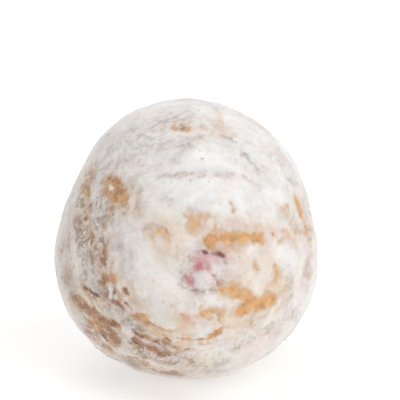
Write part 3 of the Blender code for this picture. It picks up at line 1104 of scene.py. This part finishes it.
def addTints(tree, body, at, detail, strength, tints):
    # faint colours in patches, each with its patches along a metre and where its noise is on
    for tint, scale, low, high in tints:
        patch = ease(tree, grainNoise(tree, at, scale, detail), low, high)
        body = blendColours(tree, times(tree, patch, strength), body, colour(*tint))
    return body


def addSockets(tree, inOut, kind, *names):
    for name in names:
        tree.interface.new_socket(name, in_out=inOut, socket_type=kind)


sugarLook = {
    # from soaked through to caked thick
    "depths": ((0.1, (206, 190, 180)), (0.35, (214, 205, 198)), (0.6, (228, 223, 219)),
               (0.8, (239, 237, 234)), (1, (248, 247, 246))),
    "covers": (-0.05, 0.52),    # how thick it is where it starts to hide the crust, and does
    # where it has soaked up the frying oil, from hardly to fully
    "tans": ((0.2, (244, 224, 203)), (0.55, (226, 193, 161)), (1, (214, 175, 137))),
    # grey of damp sugar, also used for the painted shade along the outline
    "grey": (178, 169, 168),
    "tints": (((230, 225, 232), 340, 0.52, 0.7), ((248, 241, 232), 420, 0.46, 0.3),
              ((243, 227, 220), 560, 0.54, 0.7), ((222, 228, 218), 610, 0.44, 0.3)),
    "tinted": 0.45,
    # the crust in the gaps between grains, darkened by painted shade
    "gap": (132, 108, 94),
    "fleck": (231, 213, 200),
    "pink": (218, 160, 162),
    # how much each kind of unevenness thins it, its waves along a metre and their detail
    "caked": (0.45, 700, 1),
    "flaky": (0.45, 380, 1.5),
    "streaky": (0.5, 800, 1),
    "patchy": (0.75, 1300, 1),
    "gritty": (0.2, 3400, 1),
    "calm": 0.35,               # how much of that is left where it's thick
    "calms": (0.95, 0.55),      # how thick it is where only that is left, and where all is
    "dust": 0.14,               # on the bare places too, and more of it with the grains
    "dustSize": 1700,
    "dustOn": (0.45, 0.75),
    "grainSize": 1600,          # grains along a metre
    "flakeSize": 760,
    "flakiness": 0.75,          # how far each flake is of one colour and thickness
    "blotSize": 1500,           # of dark blots and pale flecks among the grains
    "straySize": 1500,          # what bends the flakes' and the grains' edges, and by how many metres
    "stray": 0.0005,
}

crustLook = {
    "browns": ((0, (236, 202, 158)), (0.35, (226, 172, 112)), (0.7, (174, 132, 102)), (1, (122, 92, 78))),
    "tints": (((220, 160, 132), 700, 0.5, 0.66), ((214, 190, 140), 800, 0.48, 0.34)),
    "mottling": 0.9,
    "mottleSize": 900,
    "mottleHeight": 0.12,
    "relief": 0.00018,          # metres, together with the sugar's
    "bareRough": 0.55,
    "sugarRougher": 0.35,
    "specular": 0.2,
}

jellyLook = {
    "fruits": ((0, (122, 40, 52)), (0.5, (190, 104, 118)), (1, (208, 150, 156))),
    # painted shade in the gaps round the filling, from grey to dark red
    "gaps": ((0.4, (160, 146, 143)), (0.65, (150, 92, 92)), (1, (124, 54, 60))),
    "gapsFrom": (0.05, 0.8),    # how dark a gap is where it starts to show and shows most
    "gapsMost": 0.9,
    "relief": 0.00015,
    "dryRough": 0.9,
    "wetSmoother": -0.5,
}

grainLook = {
    "sugar": {"Thickness": 0.62, "Grains": 0, "Tan": 0.3, "Grey": 0.2, "Pink": 0},
    "relief": 0.00006,
    "rough": 0.8,
    "sugarRougher": 0.1,
}


def makeSugarGroup():
    # how thick the sugar is and what else is on it goes in; where it covers what lies below,
    # its colour and its relief come out. Flow is the place, drawn out along the streaks
    tree = bpy.data.node_groups.new("powdered_sugar", "ShaderNodeTree")
    addSockets(tree, "INPUT", "NodeSocketVector", "Place", "Flow")
    addSockets(tree, "INPUT", "NodeSocketFloat", "Thickness", "Grains", "Tan", "Grey", "Pink")
    addSockets(tree, "OUTPUT", "NodeSocketFloat", "Cover")
    addSockets(tree, "OUTPUT", "NodeSocketColor", "Colour")
    addSockets(tree, "OUTPUT", "NodeSocketFloat", "Height")
    given = addNode(tree, "NodeGroupInput").outputs
    at, flow, grainy = given["Place"], given["Flow"], given["Grains"]
    bent = {"Vector": at, "Scale": sugarLook["straySize"], "Detail": 1}
    bent = addNode(tree, "ShaderNodeTexNoise", bent).outputs["Color"]
    strayed = addNode(tree, "ShaderNodeVectorMath", {0: bent, 1: (sugarLook["stray"],) * 3, 2: flow},
                      operation="MULTIPLY_ADD").outputs[0]
    # flakes, each of nearly one colour and thickness
    flake = addNode(tree, "ShaderNodeTexVoronoi", {"Vector": strayed, "Scale": sugarLook["flakeSize"]})
    flake = {0: sugarLook["flakiness"], 4: flow, 5: flake.outputs["Position"]}
    flake = addNode(tree, "ShaderNodeMix", flake, data_type="VECTOR").outputs[1]
    kinds = {"caked": flake, "flaky": flow, "streaky": flow, "patchy": at, "gritty": at}
    uneven = 0
    for name, place in kinds.items():
        share, size, detail = sugarLook[name]
        kinds[name] = grainNoise(tree, place, size, detail)
        centred = calc(tree, "SUBTRACT", kinds[name], 0.5)
        uneven = calc(tree, "MULTIPLY_ADD", centred, share, uneven)
    loose = ease(tree, given["Thickness"], *sugarLook["calms"], sugarLook["calm"], 1)
    depth = calc(tree, "MULTIPLY_ADD", uneven, loose, given["Thickness"])
    cover = ease(tree, depth, *sugarLook["covers"])
    dust = ease(tree, grainNoise(tree, at, sugarLook["dustSize"], 2), *sugarLook["dustOn"])
    dust = times(tree, dust, calc(tree, "ADD", grainy, sugarLook["dust"]))
    cover = calc(tree, "MULTIPLY_ADD", oneLess(tree, cover), dust, cover)
    # its colour where it is soaked, damp, greyed by painted shade at the outline, tinted and pink
    body = rampOf(tree, depth, sugarLook["depths"])
    soaked = times(tree, given["Tan"], ease(tree, kinds["flaky"], 0.3, 0.62, 0.55, 1.15),
                   ease(tree, depth, 1.15, 0.45, 0.7, 1))
    body = blendColours(tree, soaked, body, rampOf(tree, given["Tan"], sugarLook["tans"]))
    dampGreyAndShade = times(tree, given["Grey"], ease(tree, kinds["flaky"], 0.62, 0.36, 0.4, 1.1))
    body = blendColours(tree, dampGreyAndShade, body, colour(*sugarLook["grey"]))
    body = addTints(tree, body, flake, 1, sugarLook["tinted"], sugarLook["tints"])
    body = blendColours(tree, given["Pink"], body, colour(*sugarLook["pink"]))
    # coarse grains with dark gaps between them: the crust showing through, with painted shade in the gaps
    cells = addNode(tree, "ShaderNodeTexVoronoi", {"Vector": strayed, "Scale": sugarLook["grainSize"]})
    cells = cells.outputs
    chance = addNode(tree, "ShaderNodeSeparateColor", {0: cells["Color"]}).outputs
    gap = times(tree, ease(tree, cells["Distance"], 0.2, 0.75), grainy,
                calc(tree, "MULTIPLY_ADD", chance[0], 0.7, 0.15))
    # and now and then a pinhole
    veryGrainy = calc(tree, "POWER", grainy, 2)
    hole = times(tree, calc(tree, "LESS_THAN", chance[1], times(tree, veryGrainy, 0.7)),
                 ease(tree, cells["Distance"], 0.14, 0.34, 1, 0),
                 calc(tree, "MULTIPLY_ADD", chance[2], 0.5, 0.15), ease(tree, grainy, 0.15, 0.4))
    dark = calc(tree, "MAXIMUM", gap, hole)
    blotchy = grainNoise(tree, flow, sugarLook["blotSize"])
    shaded = times(tree, ease(tree, blotchy, 0.54, 0.36), times(tree, veryGrainy, 1.7))
    # the gaps, pinholes and blots take that colour: painted shade between and in the grains, over the
    # crust showing through
    body = blendColours(tree, calc(tree, "MAXIMUM", dark, shaded), body, colour(*sugarLook["gap"]))
    flecks = times(tree, ease(tree, blotchy, 0.5, 0.68), grainy)
    body = blendColours(tree, flecks, body, colour(*sugarLook["fleck"]))
    height = calc(tree, "MULTIPLY_ADD", kinds["patchy"], 0.6, times(tree, kinds["gritty"], 0.4))
    height = calc(tree, "MULTIPLY_ADD", kinds["streaky"], 0.5, height)
    height = calc(tree, "SUBTRACT", height, times(tree, dark, 0.5))
    height = times(tree, height, calc(tree, "MULTIPLY_ADD", loose, 0.7, 0.3))
    addNode(tree, "NodeGroupOutput", {"Cover": cover, "Colour": body, "Height": height})
    return tree


def makeFriedGroup():
    # the crust without sugar: a brown goes in, and a mottled colour and its relief come out
    tree = bpy.data.node_groups.new("fried_crust", "ShaderNodeTree")
    addSockets(tree, "INPUT", "NodeSocketVector", "Place")
    addSockets(tree, "INPUT", "NodeSocketFloat", "Brown")
    addSockets(tree, "OUTPUT", "NodeSocketColor", "Colour")
    addSockets(tree, "OUTPUT", "NodeSocketFloat", "Height")
    given = addNode(tree, "NodeGroupInput").outputs
    mottled = grainNoise(tree, given["Place"], crustLook["mottleSize"], 2)
    amount = crustLook["mottling"]
    tone = calc(tree, "ADD", given["Brown"], calc(tree, "MULTIPLY_ADD", mottled, amount, -amount / 2))
    fried = addTints(tree, rampOf(tree, tone, crustLook["browns"]), given["Place"], 2,
                     ease(tree, tone, 0.85, 0.4, 0.08, 0.5), crustLook["tints"])
    height = times(tree, mottled, crustLook["mottleHeight"])
    addNode(tree, "NodeGroupOutput", {"Colour": fried, "Height": height})
    return tree


sugarGroup = makeSugarGroup()
friedGroup = makeFriedGroup()


def startMaterial(name):
    material = bpy.data.materials.new(name)
    material.use_nodes = True
    tree = material.node_tree
    tree.nodes.clear()
    return material, tree


def finishMaterial(tree, base, rough, height, relief, specular=0.5):
    # the relief is how many metres a height of one stands for
    bump = addNode(tree, "ShaderNodeBump", {"Height": height, "Distance": relief, "Strength": 1})
    shader = addNode(tree, "ShaderNodeBsdfPrincipled", {
        "Base Color": base, "Roughness": rough, "Normal": bump.outputs[0],
        "Specular IOR Level": specular})
    addNode(tree, "ShaderNodeOutputMaterial", {0: shader.outputs[0]})


def reading(tree, name):
    return addNode(tree, "ShaderNodeAttribute", attribute_name=name).outputs["Fac"]


def addGroup(tree, group, inputs):
    return addNode(tree, "ShaderNodeGroup", inputs, node_tree=group).outputs


def addPainted(tree):
    # the fried crust and the sugar over it, as the mesh's paint says
    at = addNode(tree, "ShaderNodeTexCoord").outputs["Object"]
    flow = addNode(tree, "ShaderNodeAttribute", attribute_name="flow").outputs["Vector"]
    sugar = addGroup(tree, sugarGroup, {
        "Place": at, "Flow": flow, "Thickness": reading(tree, "sugar"),
        "Grains": reading(tree, "grains"), "Pink": reading(tree, "pink"),
        "Tan": reading(tree, "tan"), "Grey": reading(tree, "grey")})
    return addGroup(tree, friedGroup, {"Place": at, "Brown": reading(tree, "brown")}), sugar


# painted shade in the gaps round the filling, on the crust and on the filling
def paintGapShade(tree, skin):
    pit = reading(tree, "pit")
    share = ease(tree, pit, *jellyLook["gapsFrom"], 0, jellyLook["gapsMost"])
    return blendColours(tree, share, skin, rampOf(tree, pit, jellyLook["gaps"]))


def makeCrustMaterial():
    material, tree = startMaterial("sugared_crust")
    fried, sugar = addPainted(tree)
    skin = blendColours(tree, sugar["Cover"], fried["Colour"], sugar["Colour"])
    rougher = crustLook["sugarRougher"]
    rough = calc(tree, "MULTIPLY_ADD", sugar["Cover"], rougher, crustLook["bareRough"])
    height = calc(tree, "ADD", fried["Height"], sugar["Height"])
    finishMaterial(tree, paintGapShade(tree, skin), rough, height, crustLook["relief"],
                   crustLook["specular"])
    return material


def makeJellyMaterial():
    # where its face laps over the crust it looks like it
    material, tree = startMaterial("jelly")
    fried, sugar = addPainted(tree)
    fruit = rampOf(tree, reading(tree, "fruit"), jellyLook["fruits"])
    lapped = reading(tree, "lapped")
    skin = blendColours(tree, lapped, fruit, fried["Colour"])
    skin = blendColours(tree, sugar["Cover"], skin, sugar["Colour"])
    wet = times(tree, oneLess(tree, sugar["Cover"]), oneLess(tree, lapped))
    rough = calc(tree, "MULTIPLY_ADD", wet, jellyLook["wetSmoother"], jellyLook["dryRough"])
    height = times(tree, sugar["Height"], sugar["Cover"])
    finishMaterial(tree, paintGapShade(tree, skin), rough, height, jellyLook["relief"])
    return material


def makeGrainMaterial():
    material, tree = startMaterial("sugar_grain")
    at = addNode(tree, "ShaderNodeTexCoord").outputs["Object"]
    sugar = addGroup(tree, sugarGroup, {"Place": at, "Flow": at, **grainLook["sugar"]})
    rougher = grainLook["sugarRougher"]
    rough = calc(tree, "MULTIPLY_ADD", sugar["Cover"], rougher, grainLook["rough"])
    finishMaterial(tree, sugar["Colour"], rough, sugar["Height"], grainLook["relief"],
                   crustLook["specular"])
    return material


# the sugar inside the mouth thins out down the wall, and the filling wets it: each pair is
# the share of the way from the rim to the middle, and the amount there
insideMouth = {
    "sugar": ((0, 0.75), (0.08, 0.6), (0.3, 0.1)),
    "pink": ((0, 0.1), (0.2, 0.5)),
}

points, down = openMouth(base, raised)
points[:, 2] = np.maximum(points[:, 2], 0)
for name, stops in insideMouth.items():
    paint[name] = np.where(down > 0, np.interp(down, *zip(*stops)), paint[name])
paint["flow"] = drawnOut(base, 1, crust["drawnOut"])
giveMesh(mesh, points, paint)
powderedCrust = addPiece("powdered_crust", mesh, makeCrustMaterial())
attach(powderedCrust, "root")
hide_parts("dough")
print("crust made")


jelly = {
    "turns": 80,
    "rings": 30,
    "overlap": 0.00024,       # how far its face laps over the mouth's rim
    "proud": 0.00002,         # and by how much it stands proud of the crust there
    "dip": 0.00004,           # how far its edge dips under the crust
    "feltFrom": 0.00008,      # the crust is felt for at least this far outside the rim
    "runsInto": 0.76,         # from this share of the way out, what lies on it runs into the crust's
    "rises": (0.45, 0.97),    # and between these, its face rises or sinks to the crust
    "inner": 0.8,             # the plain solid's face is drawn out by this to reach the rim
    "roughness": 0.00007,
    "gapDepth": 0.0004,
    "slack": 0.96,            # between its side and the channel's wall
    "sideDepths": (0.0003, 0.0008, 0.0018, 0.004, 0.008, 0.012),
    "tipLength": 0.0022,
    "tip": ((0.9, 0.35), (0.6, 0.8)),      # how wide it still is, and how far along the tip
    # on its face where none of the places below says otherwise, and out of sight
    "paint": {"sugar": 0.7, "fruit": 0.6, "pink": 0.12, "brown": 0.4, "grains": 0.12, "tan": 0.08,
              "grey": 0.12},
    "hidden": {"sugar": -0.3, "fruit": 0.2, "pink": 0.5},
}

# what lies on the filling's face, each over the one before: half width in mm, how thick the
# sugar is, how pale the fruit, how pink the sugar, how high in mm it stands, and its line
jellyPlaces = (
    (0.95, 0.72, 0.8, 0.06, 0.08, ((216, 266), (219, 271))),
    (0.9, 0.56, 0.8, 0.1, 0.06, ((185, 268), (190, 264))),
    (0.8, 0.54, 0.9, 0.5, 0, ((199, 256), (208, 256))),
    (0.72, 0.62, 0.9, 0.55, 0, ((212, 258), (225, 261))),
    (0.5, 0.34, 0.95, 0.7, -0.05, ((202, 257), (202, 262))),
    (0.72, -0.04, 0.62, 0.6, 0.06, ((199, 267), (201, 269))),
    (0.4, 0.5, 0.6, 0.4, -0.12, ((193, 271), (198, 274))),
    (0.6, 0.5, 0.8, 0.2, 0, ((186, 287), (194, 289))),
    (0.5, 0.72, 0.8, 0.2, 0.1, ((195, 278), (196, 284))),
    (0.8, 0.04, 0.85, 0.6, 0.04, ((187, 279.5), (187.5, 281.5))),
    (1.1, 0.86, 0.8, 0.08, 0.34, ((203, 277), (206, 283))),
    # thinner, darker sugar in the dip below the clump: painted shade, besides the real dip
    (0.5, 0.54, 0.8, 0.1, -0.08, ((208, 281), (210, 284))),
    # mauve down the right of the clump: pink sugar and painted shade
    (0.4, 0.48, 0.8, 0.34, -0.12, ((213, 276), (216, 282), (216, 288))),
    (0.5, 0.42, 0.85, 0.45, -0.04, ((206, 264), (209, 270))),
)


def heightOver(tree, x, y):
    # of the first thing met from outside, or nothing
    start = Vector(fromMouth(np.array([[x, y, mouthTop + mouth["outside"]]]))[0])
    hit = tree.ray_cast(start, -mouthAxis)[0]
    return None if hit is None else toMouth(np.array(hit)[None, :])[0][2]


def jellyFace(angles, rim):
    # its height all over its face, which laps over the mouth's rim
    turns, rings = jelly["turns"], jelly["rings"]
    shares = np.arange(1, rings + 1)[:, None] / rings
    out = shares * (rim + jelly["overlap"])
    x, y = out * np.cos(angles), out * np.sin(angles)
    plain = np.empty((rings, turns))
    found = 0
    for place in np.ndindex(rings, turns):
        height = heightOver(jellyTree, x[place] * jelly["inner"], y[place] * jelly["inner"])
        found = found if height is None else height
        plain[place] = found
    # even out the plain solid's facets
    for _ in range(4):
        plain = evenRound(plain)
        plain[1:-1] = (plain[:-2] + 2 * plain[1:-1] + plain[2:]) / 4
    lap = np.maximum(out, rim + jelly["feltFrom"])
    edge = np.empty((rings, turns))
    for place in np.ndindex(rings, turns):
        angle = angles[place[1]]
        edge[place] = heightOver(crustTree, lap[place] * math.cos(angle), lap[place] * math.sin(angle))
    past = np.clip((out - rim) / jelly["overlap"], 0, 1)
    edge += jelly["proud"] * (1 - past) - jelly["dip"] * past
    plain += (edge - plain) * smoothStep(*jelly["rises"], out / rim)
    flat = np.stack([np.append(0, x), np.append(0, y), np.zeros(rings * turns + 1)], axis=1)
    return flat, np.append(heightOver(jellyTree, 0, 0), plain), np.append(0, out / rim)


def raisedBy(flat, heights):
    return flat + heights[:, None] * np.array([0, 0, 1])


def paintJelly(flat, heights, outward):
    # what lies on its face, which also changes the heights
    free = 1 - smoothStep(1, 1.04, outward)
    strayed = flat + straysAt(flat, *strays["filling"])
    paint = {name: np.full(len(flat), value) for name, value in jelly["paint"].items()}
    for halfWidth, sugar, fruit, pink, height, pixels in jellyPlaces:
        fall = fallOff(strayed, halfWidth, flatLine(pixels), "filling")
        heights += height * millimetre * fall * free
        for name, value in (("sugar", sugar), ("fruit", fruit), ("pink", pink)):
            paint[name] += (value - paint[name]) * fall
    crustPaint = paintCrust(fromMouth(raisedBy(flat, heights)))
    lapped = smoothStep(jelly["runsInto"], 1, outward)
    for name in ("sugar", "pink", "brown", "grains", "tan", "grey"):
        paint[name] += (crustPaint[name] - paint[name]) * lapped
    paint["lapped"] = lapped
    paint["pit"] = crustPaint["pit"]
    heights += jelly["roughness"] * noiseAt(flat, *waves["fruit"]) * free
    heights -= jelly["gapDepth"] * paint["pit"]
    return paint


def jellySides(angles, rim, top):
    # rings of points down the channel, a little clear of its wall, and then its round tip
    _, depths, narrowings = zip(*mouth["wall"])
    wall = around(channelReach, angles)
    ways = np.stack([np.cos(angles), np.sin(angles)], axis=1)
    bottom, length = jelly["sideDepths"][-1], jelly["tipLength"]
    rows = [(drop, 1) for drop in jelly["sideDepths"]]
    rows += [(bottom + length * along, share) for share, along in jelly["tip"]]
    sides = []
    for drop, share in rows:
        narrow = np.interp(drop / millimetre, depths, narrowings)
        reach = (rim * (1 - narrow) + wall * narrow) * jelly["slack"] * share
        sides.append(np.column_stack([ways * reach[:, None], np.full(len(angles), top - drop)]))
    return sides + [np.array([[0, 0, top - bottom - length]])]


def ringFaces(turns, count):
    # round the middle, from each ring to the next and round the tip
    nexts = [(i + 1) % turns for i in range(turns)]
    faces = [(0, 1 + i, 1 + nexts[i]) for i in range(turns)]
    for a in range(1, count - 1 - turns, turns):
        b = a + turns
        faces += [(a + i, b + i, b + nexts[i], a + nexts[i]) for i in range(turns)]
    last = count - 1
    return faces + [(last - turns + nexts[i], last - turns + i, last) for i in range(turns)]


def makeJelly():
    angles = np.arange(jelly["turns"]) * math.tau / jelly["turns"]
    rim, _ = mouthRim(angles)
    flat, heights, outward = jellyFace(angles, rim)
    paint = paintJelly(flat, heights, outward)
    sides = jellySides(angles, rim, heights[-len(angles):].min())
    allPoints = fromMouth(np.concatenate([raisedBy(flat, heights)] + sides))
    made = bpy.data.meshes.new("jelly_filling")
    made.from_pydata(allPoints.tolist(), [], ringFaces(len(angles), len(allPoints)))
    for name in paint:
        hidden = jelly["hidden"].get(name, 0)
        paint[name] = np.append(paint[name], np.full(len(allPoints) - len(flat), hidden))
    paint["flow"] = drawnOut(allPoints, 1, crust["drawnOut"])
    giveMesh(made, allPoints, paint)
    return made


crustTree = BVHTree.FromPolygons(points.tolist(), [f.vertices[:] for f in mesh.polygons])
jellyFilling = addPiece("jelly_filling", makeJelly(), makeJellyMaterial())
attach(jellyFilling, "root")
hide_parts("jelly")
print("filling made")


grains = {
    "seed": 5,
    # how finely each kind is modelled, how many there are, and half of the way across
    "kinds": ((2, 700, (0.0001, 0.00022)), (1, 2600, (0.00004, 0.00009))),
    "stretch": 0.35,
    "stretchLimits": (0.6, 1.6),
    "dents": 0.16,
    "sunk": 0.4,              # how deep the middle lies, as a share of half of the way across
    "fewest": 0.02,           # of them where the sugar isn't grainy
    "grainy": (0.35, 0.65),   # from where most of them lie on it
    "sugared": (0.3, 0.6),
    "clearOfTable": 0.0012,
    "mostPit": 0.05,
}


def lump(level):
    bm = bmesh.new()
    bmesh.ops.create_icosphere(bm, subdivisions=level, radius=1)
    corners = np.array([v.co[:] for v in bm.verts])
    faces = np.array([[v.index for v in f.verts] for f in bm.faces])
    bm.free()
    return corners, faces


def grainWeights():
    # most lie where the sugar is grainy, and none where the ball rests or in the mouth
    weight = grains["fewest"] + smoothStep(*grains["grainy"], paint["grains"])
    weight *= smoothStep(*grains["sugared"], paint["sugar"])
    weight *= (down == 0) & (points[:, 2] > grains["clearOfTable"])
    weight *= paint["pit"] < grains["mostPit"]
    # the points lie closer together towards the mouth
    weight *= 1 / (1 + crust["crowding"] * (ways @ np.array(mouthAxis)))**2
    return weight / weight.sum()


def makeGrains():
    chance = np.random.default_rng(grains["seed"])
    normals = np.zeros(len(mesh.vertices) * 3)
    mesh.vertices.foreach_get("normal", normals)
    normals = normals.reshape(-1, 3)
    weights = grainWeights()
    allCorners, allFaces, count = [], [], 0
    for level, amount, sizes in grains["kinds"]:
        corners, faces = lump(level)
        for index in chance.choice(len(points), amount, p=weights):
            size = sizes[0] + (sizes[1] - sizes[0]) * chance.random()**2
            stretch = 1 + grains["stretch"] * chance.standard_normal(3)
            turn = np.linalg.qr(chance.standard_normal((3, 3)))[0]
            shape = corners * np.clip(stretch, *grains["stretchLimits"])
            shape = shape * (1 + grains["dents"] * chance.standard_normal((len(corners), 1)))
            # a turn that mirrors would leave it inside out
            shape = shape @ turn * size * np.sign(np.linalg.det(turn))
            place = points[index] - normals[index] * size * grains["sunk"]
            allCorners.append(shape + place)
            allFaces.append(faces + count)
            count += len(corners)
    allCorners = np.concatenate(allCorners)
    made = bpy.data.meshes.new("sugar_grains")
    made.from_pydata(allCorners.tolist(), [], np.concatenate(allFaces).tolist())
    giveMesh(made, allCorners, {})
    return made


sugarGrains = addPiece("sugar_grains", makeGrains(), makeGrainMaterial())
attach(sugarGrains, "root")
print("grains scattered")


studio = {
    "floorRadius": 2.5,
    "floor": (226, 226, 225),
    "floorGlow": 0.36,        # the floor is lit from below too, like a light table
    "world": 0.44,            # how bright it lights the ball
    "backdrop": 0.96,         # and how bright it looks behind it
    "lights": {
        "key": {"azimuth": 58, "elevation": 38, "distance": 0.9, "size": 0.9, "power": 3.2},
        "rim": {"azimuth": -125, "elevation": 62, "distance": 0.9, "size": 0.9, "power": 2.2},
        "top": {"azimuth": 20, "elevation": 78, "distance": 0.9, "size": 0.9, "power": 1.8},
    },
}


def addLight(name, settings):
    data = bpy.data.lights.new(name, "AREA")
    data.shape = "DISK"
    data.size = settings["size"]
    data.energy = settings["power"]
    way = direction(settings["azimuth"], settings["elevation"])
    made = addAimed(name, data, waist + way * settings["distance"], way.to_track_quat("Z", "Y"))
    made.visible_camera = False


def addFloor():
    bm = bmesh.new()
    bmesh.ops.create_circle(bm, cap_ends=True, segments=64, radius=studio["floorRadius"])
    data = bpy.data.meshes.new("floor")
    bm.to_mesh(data)
    bm.free()
    material, tree = startMaterial("pale_floor")
    shader = addNode(tree, "ShaderNodeBsdfPrincipled", {
        "Base Color": colour(*studio["floor"]), "Roughness": 0.9, "Specular IOR Level": 0.1,
        "Emission Color": (1, 1, 1, 1), "Emission Strength": studio["floorGlow"]})
    addNode(tree, "ShaderNodeOutputMaterial", {0: shader.outputs[0]})
    addPiece("floor", data, material)


def addWorld():
    world = bpy.data.worlds.new("studio")
    world.use_nodes = True
    tree = world.node_tree
    tree.nodes.clear()
    seen = addNode(tree, "ShaderNodeLightPath").outputs["Is Camera Ray"]
    strength = calc(tree, "MULTIPLY_ADD", seen, studio["backdrop"] - studio["world"], studio["world"])
    light = addNode(tree, "ShaderNodeBackground", {"Color": (1, 1, 1, 1), "Strength": strength})
    addNode(tree, "ShaderNodeOutputWorld", {0: light.outputs[0]})
    bpy.context.scene.world = world


addFloor()
addWorld()
for name, settings in studio["lights"].items():
    addLight(name, settings)
bpy.context.scene.view_settings.view_transform = "Standard"
print("studio set up")
